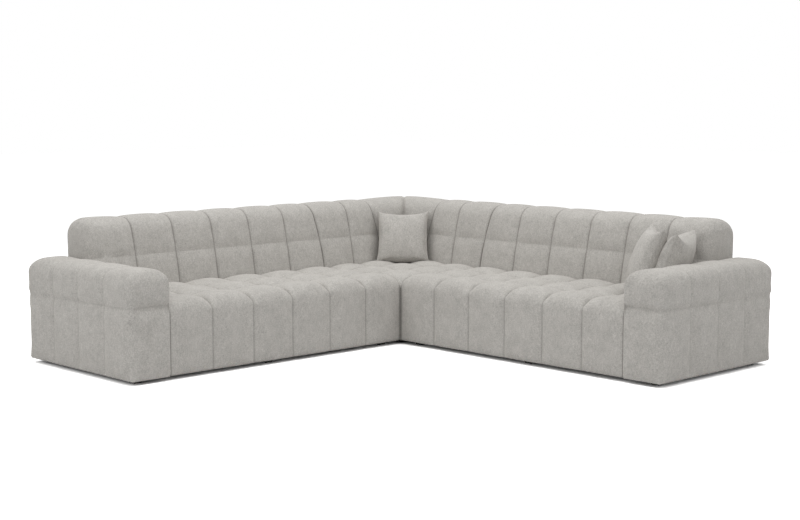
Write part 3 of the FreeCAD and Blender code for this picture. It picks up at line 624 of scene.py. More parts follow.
@dataclass
class WingSeat:
    """Seat upholstery of one wing: puffed tiles on top, channels down the front."""

    rear: float = BACK_FOOT - mm(14)
    rear_bottom: float = 0.27
    roll: float = mm(80)
    rear_roll: float = mm(35)
    hem: float = mm(8)
    turn_in: float = mm(32)
    top_sink: float = mm(39)
    front_sink: float = mm(9)
    roll_sink: float = mm(15)
    hem_loss: float = 0.8
    cell: float = mm(17)
    row_seams: tuple[float, float] = (2 * TILE, 3 * TILE)
    rear_tuck: float = mm(10)
    fullness: float = 2.6
    top_fullness_loss: float = 0.5
    row_fullness: float = 2.1
    # Painted shade: its strength on the channel seams, less on top, on the row seams, and at the
    # joint with the corner module
    line: float = 0.55
    top_shade_loss: float = 0.12
    row_shade: float = 0.45
    corner_shade: float = 0.5
    corner_shade_reach: float = mm(14)
    end_share: float = 0.45
    stuffing: Stuffing = Stuffing()

    def path(self) -> Path2D:
        """Side view from behind the seat over its top and down the front.

        Returns:
            The line, outwards on its left.
        """
        corners = [(self.rear, self.rear_bottom), (self.rear, SEAT_TOP), (WING_DEPTH, SEAT_TOP),
                   (WING_DEPTH, HEM_HEIGHT), (WING_DEPTH - self.turn_in, HEM_HEIGHT)]
        return Path2D(corners, [self.rear_roll, self.roll, self.hem])

    def sink(self, normal: np.ndarray) -> np.ndarray:
        """Depth of the seams by the way the surface faces.

        Args:
            normal: Unit normals as along, depth and height.

        Returns:
            The depths.
        """
        up, out = np.clip(normal[:, 2], 0, 1), np.clip(normal[:, 1], 0, 1)
        down = np.clip(-normal[:, 2], 0, 1)
        return (self.front_sink + (self.top_sink - self.front_sink) * up ** 2
                + self.roll_sink * (2 * up * out) ** 2 - self.front_sink * self.hem_loss * down)

    def pull(self, place: np.ndarray, normal: np.ndarray) -> Pull:
        """Seam depth at each vertex.

        Args:
            place: Vertices as along, depth and height.
            normal: Their outward normals in the same coordinates.

        Returns:
            The pull towards the inside.
        """
        up = np.clip(normal[:, 2], 0, 1)
        across = swell(from_seams(place[:, 0], WING_SEAMS),
                       self.fullness - self.top_fullness_loss * up)
        rows = [self.rear - self.rear_tuck, *self.row_seams, WING_DEPTH + TILE]
        share = from_seams(place[:, 1], rows)
        last = place[:, 1] > self.row_seams[-1]
        share = np.where(last, np.clip((place[:, 1] - self.row_seams[-1]) / (TILE / 2), 0, 1), share)
        height = across * swell(share, self.row_fullness)
        rows = list(self.row_seams)
        # Painted shade in the seam valleys and in the joint with the corner module
        corner = sewn_line(place[:, 0], WING_SEAMS[:1], self.corner_shade_reach) * (1 - up)
        line = sewn_line(place[:, 0], WING_SEAMS, SEAM_REACH) * (self.line - self.top_shade_loss * up)
        line = np.maximum(line + corner * self.corner_shade,
                          sewn_line(place[:, 1], rows, SEAM_REACH) * up * self.row_shade)
        hold = np.maximum(sewn_line(place[:, 0], WING_SEAMS, HOLD_REACH),
                          sewn_line(place[:, 1], rows, HOLD_REACH) * up)
        # The outermost channels end against a neighbour, so their seams there are shallower
        ends = np.minimum(place[:, 0] - WING_DEPTH, ARM_START - place[:, 0]) < COLUMN / 2
        sink = self.sink(normal) * np.where(ends, self.end_share + (1 - self.end_share) * up ** 2, 1)
        return Pull(sink * (1 - height), line, hold ** 2)

    def build(self, name: str) -> bpy.types.Object:
        """Mesh of the left wing's seat.

        Args:
            name: Name of the piece.

        Returns:
            The piece in the row frame.
        """
        path = self.path()
        marks = [0.0] + [path.where(0, place) for place in self.row_seams]
        marks += [path.where(1, SEAT_TOP - self.roll, last=True), path.length]
        shape = Sweep(path, stations(marks, self.cell), stations(WING_SEAMS, self.cell))
        for way in (-1, 1):
            shape.cap(way, held=True)
        return dressed(name, shape, self.pull(*shape.vertices()), Side.LEFT.to_row, self.stuffing)


def dressed(name: str, shape: Sweep, pull: Pull, to_row: Callable[[np.ndarray], np.ndarray],
            stuffing: Stuffing) -> bpy.types.Object:
    """Pull a swept shape in at its seams, stuff it and smooth it.

    Args:
        name: Name of the piece.
        shape: The envelope.
        pull: The seams' depth at each of its vertices.
        to_row: Turns the piece's own coordinates into the row frame.
        stuffing: How the cloth is blown up between its seams.

    Returns:
        The finished piece.
    """
    place, normal = shape.vertices()
    outside = to_row(place + normal * mm(1)) - to_row(place)
    # Painted shade along the seams and creases, kept on the mesh as its seam attribute
    line = np.clip(pull.line, 0.0, 1.0)
    piece = new_mesh(name, to_row(shape.pulled(pull.depth)), shape.faces, line)
    face_outwards(piece, outside)
    hold = np.where(place[:, 2] < HEM_HEIGHT + mm(2), 1.0, np.clip(pull.hold, 0.0, 1.0))
    stuffing.blow(piece, np.maximum(hold, shape.held))
    smooth_mesh(piece)
    return piece


@dataclass
class WingBack:
    """Back upholstery of one wing: channels over the top, one cross crease in front."""

    top_depth: float = 0.232
    top: float = 0.796
    corner_rise: float = mm(9)
    joint_lean: float = mm(38)
    fold_depth: float = 0.290
    slant_start: float = 0.404
    crown: float = mm(95)
    bottom: float = 0.27
    hem: float = mm(8)
    turn_in: float = mm(20)
    crease_height: float = 0.583
    crease_depth: float = mm(13)
    crease_width: float = mm(70)
    front_sink: float = mm(17)
    other_sink: float = mm(10)
    end_radius: float = mm(52)
    end_rear_radius: float = mm(9)
    bend_radius: float = mm(300)
    bottom_radius: float = mm(30)
    corner_seam_reach: float = mm(200)
    lean_power: float = 1.5
    fullness: float = 3.0
    top_fullness_loss: float = 0.6
    # Strength of the painted shade along the channel seams
    line: float = 0.75
    crease_hold: float = 0.3
    cell: float = mm(18)
    stuffing: Stuffing = Stuffing()

    def path(self) -> Path2D:
        """Side view from the rear hem over the top and down behind the seat.

        Returns:
            The line, outwards on its left.
        """
        corners = [(self.turn_in, HEM_HEIGHT), (0.0, HEM_HEIGHT), (0.0, self.top),
                   (self.top_depth, self.top), (self.fold_depth, self.crease_height),
                   (BACK_FOOT, self.slant_start), (BACK_FOOT, self.bottom)]
        return Path2D(corners, [self.hem, self.crown, self.crown, self.bend_radius,
                                self.bottom_radius])

    def raise_corner(self, shape: Sweep) -> None:
        """Let the back grow a little taller from its arm end towards the corner."""
        share = np.clip(1 - shape.run / ARM_START, 0, 1)
        shape.section[:, :, 1] *= 1 + self.corner_rise / self.top * share

    def to_row(self, side: Side, place: np.ndarray) -> np.ndarray:
        """Place in the row frame, with the seams next to the corner leaning outwards.

        Args:
            side: The wing.
            place: Along, depth and height, n by 3.

        Returns:
            Points in the row frame.
        """
        along, height = place[:, 0], place[:, 2]
        high = np.clip((height - SEAT_TOP) / (self.top - SEAT_TOP), 0, 1) ** self.lean_power
        near = np.maximum(np.clip(1 - np.abs(along - WING_DEPTH) / TILE, 0, 1),
                          np.clip(1 - np.abs(along - 2 * TILE) / self.corner_seam_reach, 0, 1))
        leaning = along + self.joint_lean * high * near
        return side.to_row(np.stack([leaning, place[:, 1], height], axis=-1))

    def cross(self, path: Path2D) -> np.ndarray:
        """Distances along the side view, as many before the crown as after it.

        Args:
            path: The side view.

        Returns:
            The distances in order.
        """
        middle = path.where(0, self.top_depth / 2, last=True)
        fold = path.where(1, self.crease_height, last=True)
        front = stations([middle, fold, path.length], self.cell)[1:]
        rear = np.linspace(0.0, 2 * middle - front[0], len(front))
        return np.concatenate([rear, front])

    def pull(self, place: np.ndarray, normal: np.ndarray, columns: list[float]) -> Pull:
        """Seam depth at each vertex.

        Args:
            place: Vertices as along, depth and height.
            normal: Their outward normals in the same coordinates.
            columns: Seams across the back.

        Returns:
            The pull towards the inside.
        """
        front = np.clip(normal[:, 1], 0, 1)
        up = np.clip(normal[:, 2], 0, 1)
        sink = self.other_sink + (self.front_sink - self.other_sink) * front
        across = swell(from_seams(place[:, 0], columns), self.fullness - self.top_fullness_loss * up)
        fold = crease(place[:, 2] - self.crease_height, self.crease_width) * (front > 0.3)
        depth = sink * (1 - across) + self.crease_depth * fold * across
        # Painted shade along the channel seams
        line = sewn_line(place[:, 0], columns, SEAM_REACH) * self.line
        hold = np.maximum(sewn_line(place[:, 0], columns, HOLD_REACH) ** 2, self.crease_hold * fold)
        # The rear is drawn over a board and stays flat
        hold = np.maximum(hold, np.clip(-normal[:, 1], 0, 1) ** 4)
        return Pull(depth, line, hold)

    def build(self, name: str) -> bpy.types.Object:
        """Mesh of the left wing's back.

        Args:
            name: Name of the piece.

        Returns:
            The piece in the row frame.
        """
        path = self.path()
        marks = [*WING_SEAMS[:-1], ARM_START - self.end_radius, ARM_START]
        shape = Sweep(path, self.cross(path), stations(marks, self.cell))
        shape.round_end(End(ARM_START, self.end_rear_radius, self.end_radius, self.end_radius), 1)
        self.raise_corner(shape)
        shape.cap(-1, held=True)
        shape.cap(1)
        place, normal = shape.vertices()
        # The last channel runs round the end, so it has no seam there
        seams = [*WING_SEAMS[:-1], ARM_START + COLUMN]
        return dressed(name, shape, self.pull(place, normal, seams),
                       lambda p: self.to_row(Side.LEFT, p), self.stuffing)


@dataclass
class CornerBack:
    """Back upholstery of the corner module, mitred in the corner."""

    straight: WingBack = field(default_factory=WingBack)
    outer_radius: float = mm(60)
    mitre_sink: float = mm(8)
    mitre_width: float = mm(30)
    # Strength of the painted shade along the mitre
    mitre_shade: float = 0.35
    rounds: int = 60

    def starts(self, path: Path2D, cross: np.ndarray) -> tuple[np.ndarray, np.ndarray]:
        """Where each line of the side view meets the mitre, and its corner radius.

        Args:
            path: The side view.
            cross: Distances along it.

        Returns:
            Distance of the mitre from the outer corner line, and the radius.
        """
        normal = path.at(cross)[1]
        rear = np.clip(-normal[:, 0], 0, 1)
        radius = np.maximum(self.outer_radius * rear, 1e-6)
        start = np.zeros(len(cross))
        for _ in range(self.rounds):
            share = np.clip((radius - start) / radius, 0, 1)
            start = 0.5 * start + 0.5 * rear * radius * (1 - np.sqrt(1 - share ** 2))
        return start, radius

    def leg(self, path: Path2D, cross: np.ndarray) -> tuple[Sweep, np.ndarray]:
        """One leg from the mitre to the joint with the wing.

        Args:
            path: The side view.
            cross: Distances along it.

        Returns:
            The leg's envelope, and each vertex's distance from the mitre.
        """
        start, radius = self.starts(path, cross)
        points = path.at(cross)[0]
        shares = stations([0.0, 2 * TILE], self.straight.cell) / (2 * TILE)
        first = points[:, 0] + start
        near_part = first[:, None] + (2 * TILE - first)[:, None] * shares[None, :]
        far_part = stations([2 * TILE, 3 * TILE, WING_DEPTH], self.straight.cell)[1:]
        run = np.concatenate([near_part, np.tile(far_part, (len(cross), 1))], axis=1)
        shape = Sweep(path, cross, run)
        turn = np.clip((radius[:, None] - (run - points[:, :1])) / radius[:, None], 0, 1)
        level = np.sqrt(1 - turn ** 2)
        shape.section -= shape.normal[:, :, 1:] * (radius[:, None] * (1 - level))[:, :, None]
        shape.normal[:, :, 0] = -turn * (radius[:, None] > mm(1))
        self.straight.raise_corner(shape)
        return shape, run - first[:, None]

    def build(self, name: str) -> bpy.types.Object:
        """Mesh of both legs, joined on the mitre.

        Args:
            name: Name of the piece.

        Returns:
            The piece in the row frame.
        """
        path = self.straight.path()
        cross = self.straight.cross(path)
        shape, distance = self.leg(path, cross)
        rows, columns = shape.run.shape
        place, normal = shape.vertices()
        seams = [-2 * TILE, 2 * TILE, 3 * TILE, WING_DEPTH]
        pull = self.straight.pull(place, normal, seams)
        facing = normal[:, 1] + normal[:, 2]
        from_mitre = distance.reshape(-1)
        mitre = crease(from_mitre, self.mitre_width) * np.clip(facing, 0, 1)
        depth = pull.depth + self.mitre_sink * mitre
        # Painted shade along the mitre, added to the seams' own
        mitre_shade_line = np.clip(1 - from_mitre / SEAM_REACH, 0, 1) * facing * self.mitre_shade
        line = np.clip(pull.line + mitre_shade_line, 0, 1)
        hold = np.clip(pull.hold + np.clip(1 - from_mitre / HOLD_REACH, 0, 1), 0, 1)
        moved = place - normal * depth[:, None]
        gap = moved[:, 0] - moved[:, 1]
        on_mitre = from_mitre < 1e-9
        moved[on_mitre, 0] -= gap[on_mitre]
        legs = [self.straight.to_row(side, moved).reshape(rows, columns, 3)
                for side in (Side.RIGHT, Side.LEFT)]
        points = np.concatenate([legs[0][:, :0:-1], legs[1]], axis=1)
        both = [np.concatenate([grid[:, :0:-1], grid], axis=1).reshape(-1)
                for grid in (line.reshape(rows, columns), hold.reshape(rows, columns))]
        width = 2 * columns - 1
        faces, blocks = grid_faces(rows, width), [points.reshape(-1, 3)]
        for column, step in ((0, -1), (width - 1, 1)):
            inner, found = closing_grid(points[:, column], np.arange(rows) * width + column,
                                        sum(len(block) for block in blocks))
            faces.extend(face[::step] for face in found)
            blocks.append(inner)
        spare = sum(len(block) for block in blocks[1:])
        both = [np.concatenate([both[0], np.zeros(spare)]), np.concatenate([both[1], np.ones(spare)])]
        piece = new_mesh(name, np.concatenate(blocks), faces, both[0])
        top = int(np.argmax(points.reshape(-1, 3)[:, 2]))
        if vectors(piece.data.vertex_normals, "vector")[top][2] < 0:
            piece.data.flip_normals()
        self.straight.stuffing.blow(piece, both[1])
        smooth_mesh(piece)
        return piece


@dataclass
class CornerSeat:
    """Seat upholstery of the corner module: a square of puffed tiles."""

    straight: WingSeat = field(default_factory=WingSeat)
    edge_radius: float = mm(4)
    tip_inset: float = mm(2)
    tip_drop: float = mm(38)
    tip_reach: float = mm(55)
    sink_reach: float = mm(170)
    rear_side_radius: float = mm(20)
    flank_level: float = 0.9
    # Strength of the painted shade over the sides, which stand against the wings and the back
    flank_shade: float = 0.675
    cell: float = mm(17)

    def build(self, name: str) -> bpy.types.Object:
        """Mesh of the corner seat.

        Args:
            name: Name of the piece.

        Returns:
            The piece in the row frame.
        """
        seat = self.straight
        corners = [(seat.rear, seat.rear_bottom), (seat.rear, SEAT_TOP), (WING_DEPTH, SEAT_TOP),
                   (WING_DEPTH, HEM_HEIGHT)]
        path = Path2D(corners, [seat.rear_roll, self.edge_radius])
        marks = [0.0] + [path.where(0, place) for place in seat.row_seams]
        marks += [path.where(1, SEAT_TOP - self.edge_radius, last=True), path.length]
        run = stations([seat.rear, *seat.row_seams, WING_DEPTH], self.cell)
        shape = Sweep(path, stations(marks, self.cell), run)
        shape.round_end(End(seat.rear, self.rear_side_radius, self.rear_side_radius,
                            seat.rear_roll), -1)
        shape.normal[:] = (0.0, 0.0, 1.0)
        edge = WING_DEPTH - mm(3)
        tip = (shape.run > edge) & (shape.section[:, :, 0] > edge)
        shape.run[tip] -= self.tip_inset
        shape.section[tip, 0] -= self.tip_inset
        for way in (-1, 1):
            shape.cap(way, held=True)
        place = shape.vertices()[0]
        tiles = [seat.rear - seat.rear_tuck, *seat.row_seams, WING_DEPTH]
        one, two = (swell(from_seams(place[:, axis], tiles), seat.row_fullness) for axis in (0, 1))
        level = np.clip((place[:, 2] - SEAT_TOP) / self.sink_reach + 1, 0, 1)
        crossing = [sewn_line(place[:, axis], list(seat.row_seams), SEAM_REACH) for axis in (0, 1)]
        flank = level < self.flank_level
        line = np.maximum(*crossing) * level
        # The tile dips towards the inner corner, as the wings' front edges roll down there
        gap = np.hypot(WING_DEPTH - place[:, 0], WING_DEPTH - place[:, 1])
        drop = self.tip_drop * np.clip(1 - gap / self.tip_reach, 0, 1) ** 1.5
        depth = (seat.top_sink * (1 - one * two) + drop) * level
        # Painted shade along the row seams on top and over the sides against the neighbours
        pull = Pull(depth, np.maximum(line * seat.row_shade, flank * self.flank_shade),
                    np.maximum(line, flank))
        return dressed(name, shape, pull, Side.LEFT.to_row, seat.stuffing)


@dataclass
class Arm:
    """Arm upholstery: four soft channels and one crease all round."""

    top: float = 0.588
    roll: float = mm(72)
    hem: float = mm(14)
    turn_in: float = mm(30)
    crease_height: float = 0.395
    crease_fall: float = mm(10)
    crease_depth: float = mm(11)
    overhang_width: float = mm(30)
    crease_width: float = mm(60)
    lower_inset: float = mm(1)
    channel_sink: float = mm(9)
    top_sink: float = mm(11)
    front_radius: float = mm(38)
    inner_radius: float = mm(3)
    front_top_radius: float = mm(62)
    rear_radius: float = mm(6)
    rear_top_radius: float = mm(70)
    arch_below: float = mm(60)
    fullness: float = 2.5
    # Strength of the painted shade along the channel seams and in the crease
    line: float = 0.15
    crease_shade: float = 0.12
    crease_shade_reach: float = mm(7)
    crease_hold: float = 0.5
    inner_loss: float = 0.8
    cell: float = mm(20)
    stuffing: Stuffing = Stuffing()

    def pull(self, place: np.ndarray, normal: np.ndarray) -> Pull:
        """Depth of the channels and of the crease at each vertex.

        Args:
            place: Vertices as depth, distance from the arm's inner face, and height.
            normal: Their outward normals in the same coordinates.

        Returns:
            The pull towards the inside.
        """
        up, down = np.clip(normal[:, 2], 0, 1), np.clip(-normal[:, 2], 0, 1)
        seams = [-TILE, TILE, 2 * TILE, 3 * TILE, WING_DEPTH + TILE]
        channel = swell(from_seams(place[:, 0], seams), self.fullness)
        flank = 1 - np.abs(normal[:, 0])
        sink = (self.channel_sink + (self.top_sink - self.channel_sink) * up) * flank
        rear = 1 - np.clip(place[:, 0] / WING_DEPTH, 0, 1)
        level = place[:, 2] - self.crease_height + self.crease_fall * rear
        fold = np.where(level > 0, crease(level, self.overhang_width),
                        crease(level, self.crease_width))
        below = np.clip(-level / self.overhang_width, 0, 1)
        depth = sink * (1 - channel) + self.crease_depth * fold + self.lower_inset * below
        depth *= (1 - down) * (1 - self.inner_loss * np.clip(-normal[:, 1], 0, 1))
        near = sewn_line(place[:, 0], seams, HOLD_REACH) * flank
        # Painted shade along the channel seams and in the crease
        line = np.maximum(sewn_line(place[:, 0], seams, SEAM_REACH) * flank * self.line,
                          sewn_line(level, [0.0], self.crease_shade_reach) * self.crease_shade)
        return Pull(depth, line, np.maximum(near ** 2, self.crease_hold * fold))

    @staticmethod
    def to_row(place: np.ndarray) -> np.ndarray:
        """Places as depth, distance from the arm's inner face and height, in the row frame."""
        return Side.LEFT.to_row(np.stack([ARM_START + place[:, 1], place[:, 0], place[:, 2]], -1))

    def build(self, name: str) -> bpy.types.Object:
        """Mesh of the left wing's arm.

        Args:
            name: Name of the piece.

        Returns:
            The piece in the row frame.
        """
        corners = [(self.turn_in, HEM_HEIGHT), (0.0, HEM_HEIGHT), (0.0, self.top),
                   (ARM_WIDTH, self.top), (ARM_WIDTH, HEM_HEIGHT),
                   (ARM_WIDTH - self.turn_in, HEM_HEIGHT)]
        path = Path2D(corners, [self.hem, self.roll, self.roll, self.hem])
        fold = path.where(1, self.crease_height)
        middle = path.length / 2
        hem = self.turn_in - self.hem
        first = stations([0.0, hem, hem + self.hem * math.pi / 2, fold, middle], self.cell)
        step = first[-1] - first[-2]
        first = first[:-1] + step / 2 * np.linspace(0, 1, len(first) - 1)
        cross = np.concatenate([first, path.length - first[::-1]])
        marks = [0.0, self.rear_radius, TILE, 2 * TILE, 3 * TILE, WING_DEPTH - self.front_radius,
                 WING_DEPTH]
        shape = Sweep(path, cross, stations(marks, self.cell))
        shape.round_end(End(0.0, self.inner_radius, self.rear_radius, self.rear_top_radius), -1)
        shape.round_end(End(WING_DEPTH, self.inner_radius, self.front_radius,
                            self.front_top_radius), 1)
        hem_row = int(np.searchsorted(cross, path.where(1, HEM_HEIGHT + mm(0.5))))
        arch = self.top - self.front_top_radius - self.arch_below
        for way in (-1, 1):
            shape.cap(way, first=hem_row, arch=arch)
        inner_face = np.clip(-shape.base[:, :, 0], 0, 1).reshape(-1) ** 2
        shape.held[:len(inner_face)] = np.maximum(shape.held[:len(inner_face)], inner_face)
        return dressed(name, shape, self.pull(*shape.vertices()), self.to_row, self.stuffing)


@dataclass
class Cushion:
    """A loose scatter cushion with pointed corners, leaning on the back or an arm."""

    name: str
    node: str
    toward: float
    lean: float
    shift: tuple[float, float, float] = (0.0, 0.0, 0.0)
    width: float = 0.35
    thickness: float = mm(148)
    side_pull: float = 0.075
    top_pull: float = 0.11
    bottom_pull: float = 0.0
    cells: int = 30
    crown: float = 2.3
    crowding: float = 0.92
    edge_power: float = 0.52
    # Strength of the painted shade along the sewn edge
    edge_shade: float = 0.12
    stuffing: Stuffing = Stuffing(pressure=3.0, slack=0.03, stretch=12.0, bend=0.2, frames=20,
                                  cap=mm(9))

    def layer(self, up: float) -> np.ndarray:
        """One face of the cushion, lying flat with its lower edge at the far end of x.

        Args:
            up: 1 for the upper face, -1 for the lower.

        Returns:
            Points of the square grid.
        """
        line = np.sin(np.linspace(-1, 1, self.cells + 1) * math.pi / 2 * self.crowding)
        line /= line[-1]
        one, two = np.meshgrid(line, line, indexing="ij")
        half = self.width / 2
        drawn = np.where(one > 0, self.bottom_pull, self.top_pull)
        across = half * one * (1 - drawn * (1 - two ** 2))
        along = half * two * (1 - self.side_pull * (1 - one ** 2))
        bulk = (1 - np.abs(one) ** self.crown) * (1 - np.abs(two) ** self.crown)
        height = up * self.thickness / 2 * np.clip(bulk, 0, 1) ** self.edge_power
        return np.stack([across, along, height], axis=-1)

    def flat(self) -> bpy.types.Object:
        """The cushion lying flat at the origin, its two faces sewn at the edge.

        Returns:
            The piece before it is stuffed.
        """
        count = self.cells + 1
        upper, lower = self.layer(1.0), self.layer(-1.0)
        index = np.arange(count * count).reshape(count, count)
        inside = np.zeros((count, count), bool)
        inside[1:-1, 1:-1] = True
        under = index.copy()
        under[inside] = count * count + np.arange(int(inside.sum()))
        points = np.concatenate([upper.reshape(-1, 3), lower[inside]])
        # The cloth settles by the order of faces and corners, so that order is fixed
        faces = [(one, four, three, two) for one, two, three, four in table_faces(index)]
        faces += [(two, three, four, one) for one, two, three, four in table_faces(under)]
        # Painted shade along the sewn edge
        edge = np.zeros(len(points))
        edge[index[~inside]] = self.edge_shade
        return new_mesh(self.name, points, faces, edge)

    def build(self) -> bpy.types.Object:
        """The stuffed cushion at its place on the sofa.

        Returns:
            The piece in the row frame.
        """
        piece = self.flat()
        self.stuffing.blow(piece, None)
        smooth_mesh(piece)
        turn = (Matrix.Rotation(math.radians(self.toward + 180), 4, "Z")
                @ Matrix.Rotation(math.radians(90 - self.lean), 4, "Y"))
        low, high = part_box(self.node)
        middle = (low + high) / 2 + Vector(self.shift)
        piece.data.transform(Matrix.Translation(middle) @ turn)
        piece.data.update()
        return piece


# Finishes


def add_node(tree: bpy.types.NodeTree, kind: str, values: dict | None = None,
             links: dict | None = None, **settings: object) -> bpy.types.Node:
    """Add one node with its settings, socket values and links.

    Args:
        tree: The node tree.
        kind: The node's type name.
        values: Socket name or number to its value.
        links: Socket name or number to the output that feeds it.
        **settings: The node's own properties.

    Returns:
        The node.
    """
    node = tree.nodes.new(kind)
    for name, setting in settings.items():
        setattr(node, name, setting)
    for socket, value in (values or {}).items():
        node.inputs[socket].default_value = value
    for socket, output in (links or {}).items():
        tree.links.new(output, node.inputs[socket])
    return node


def new_material(name: str) -> tuple[bpy.types.Material, bpy.types.NodeTree]:
    """An empty node material.

    Args:
        name: The material's name.

    Returns:
        The material and its node tree.
    """
    material = bpy.data.materials.new(name)
    material.use_nodes = True
    material.node_tree.nodes.clear()
    return material, material.node_tree


def set_stops(ramp: bpy.types.ColorRamp, stops: list[tuple[float, str]]) -> None:
    """Put hex colours at places along a colour ramp.

    Args:
        ramp: The ramp, which has two stops at first.
        stops: Places from 0 to 1 with their hex colours.
    """
    while len(ramp.elements) < len(stops):
        ramp.elements.new(0.5)
    for element, (place, code) in zip(ramp.elements, stops):
        element.position = place
        element.color = linear(code)


@dataclass(frozen=True)
class Boucle:
    """Woven boucle upholstery fabric of looped yarn, matt.

    The loops break up the light, which gives a fine mottle and no gloss, and the
    slack slub yarns draw faint upright streaks.
    """

    name: str = "woven_boucle"
    dark: str = "#979490"
    middle: str = "#b2afaa"
    light: str = "#c8c5c0"
    # Painted shade: seams and creases are darkened towards this colour
    seam: str = "#5f5c58"
    # Loops are about 3 mm wide; they are drawn at 6 mm, or they would not show
    loop_mm: float = 6.0
    slub_mm: float = 11.0
    slub_stretch: float = 0.45
    slub_share: float = 0.3
    patch_mm: float = 60.0
    patch_share: float = 0.25
    contrast: tuple[float, float] = (0.5, 1.05)
    # How far the painted seam shade goes towards its colour
    seam_shade_share: float = 0.8
    nub_share: float = -0.6
    relief_mm: float = 1.2
    sheen: str = "#f3efe8"

    def make(self) -> bpy.types.Material:
        """Mix the yarn's colours, paint shade along the seams and creases, and raise the loops.

        Returns:
            The material.
        """
        material, tree = new_material(self.name)
        place = add_node(tree, "ShaderNodeTexCoord").outputs["Object"]
        loops = add_node(tree, "ShaderNodeTexNoise", {"Scale": 1000 / self.loop_mm, "Detail": 3.0,
                                                      "Roughness": 0.65}, {"Vector": place})
        streak_place = add_node(tree, "ShaderNodeMapping", {"Scale": (1.0, 1.0, self.slub_stretch)},
                                {"Vector": place})
        streaks = add_node(tree, "ShaderNodeTexNoise", {"Scale": 1000 / self.slub_mm, "Detail": 2.0},
                           {"Vector": streak_place.outputs[0]})
        patches = add_node(tree, "ShaderNodeTexNoise", {"Scale": 1000 / self.patch_mm,
                                                        "Detail": 2.0}, {"Vector": place})
        mottle = add_node(tree, "ShaderNodeMath", {1: self.slub_share},
                          {0: streaks.outputs[0], 2: loops.outputs[0]}, operation="MULTIPLY_ADD")
        spread = add_node(tree, "ShaderNodeMath", {1: self.patch_share},
                          {0: patches.outputs[0], 2: mottle.outputs[0]}, operation="MULTIPLY_ADD")
        share = add_node(tree, "ShaderNodeMapRange",
                         {"From Min": self.contrast[0], "From Max": self.contrast[1]},
                         {0: spread.outputs[0]})
        colours = add_node(tree, "ShaderNodeValToRGB", links={0: share.outputs[0]})
        set_stops(colours.color_ramp, [(0.0, self.dark), (0.5, self.middle), (1.0, self.light)])
        # Painted shade along the seams and creases, from the mesh's seam attribute
        sewn = add_node(tree, "ShaderNodeAttribute", attribute_name="seam")
        seam_shade_amount = add_node(tree, "ShaderNodeMath", {1: self.seam_shade_share},
                          {0: sewn.outputs["Fac"]}, operation="MULTIPLY", use_clamp=True)
        mixed = add_node(tree, "ShaderNodeMix", {7: linear(self.seam)},
                         {0: seam_shade_amount.outputs[0], 6: colours.outputs[0]}, data_type="RGBA")
        nubs = add_node(tree, "ShaderNodeTexVoronoi", {"Scale": 1000 / self.loop_mm},
                        {"Vector": place}, feature="SMOOTH_F1")
        relief = add_node(tree, "ShaderNodeMath", {1: self.nub_share},
                          {0: nubs.outputs["Distance"], 2: mottle.outputs[0]},
                          operation="MULTIPLY_ADD")
        bump = add_node(tree, "ShaderNodeBump", {"Strength": 0.55, "Distance": mm(self.relief_mm)},
                        {"Height": relief.outputs[0]})
        shader = add_node(tree, "ShaderNodeBsdfPrincipled",
                          {"Roughness": 0.92, "IOR": 1.5, "Specular IOR Level": 0.25,
                           "Sheen Weight": 0.25, "Sheen Roughness": 0.6,
                           "Sheen Tint": linear(self.sheen)},
                          {"Base Color": mixed.outputs[2], "Normal": bump.outputs[0]})
        add_node(tree, "ShaderNodeOutputMaterial", links={"Surface": shader.outputs[0]})
        return material


@dataclass(frozen=True)
class PlainFinish:
    """A finish with one grain: its colours, how rough it is and whether it is metal."""

    name: str
    dark: str
    light: str
    grain_mm: float
    roughness: float
    stretch: tuple[float, float, float] = (1.0, 1.0, 1.0)
    metal: float = 0.0
    relief_mm: float = 0.3

    def make(self) -> bpy.types.Material:
        """Spread the two colours over the grain and raise it a little.

        Returns:
            The material.
        """
        material, tree = new_material(self.name)
        place = add_node(tree, "ShaderNodeTexCoord").outputs["Object"]
        grain_place = add_node(tree, "ShaderNodeMapping", {"Scale": self.stretch}, {"Vector": place})
        grain = add_node(tree, "ShaderNodeTexNoise", {"Scale": 1000 / self.grain_mm, "Detail": 4.0},
                         {"Vector": grain_place.outputs[0]})
        colours = add_node(tree, "ShaderNodeValToRGB", links={0: grain.outputs[0]})
        set_stops(colours.color_ramp, [(0.3, self.dark), (0.7, self.light)])
        bump = add_node(tree, "ShaderNodeBump", {"Strength": 0.4, "Distance": mm(self.relief_mm)},
                        {"Height": grain.outputs[0]})
        shader = add_node(tree, "ShaderNodeBsdfPrincipled",
                          {"Roughness": self.roughness, "Metallic": self.metal},
                          {"Base Color": colours.outputs[0], "Normal": bump.outputs[0]})
        add_node(tree, "ShaderNodeOutputMaterial", links={"Surface": shader.outputs[0]})
        return material


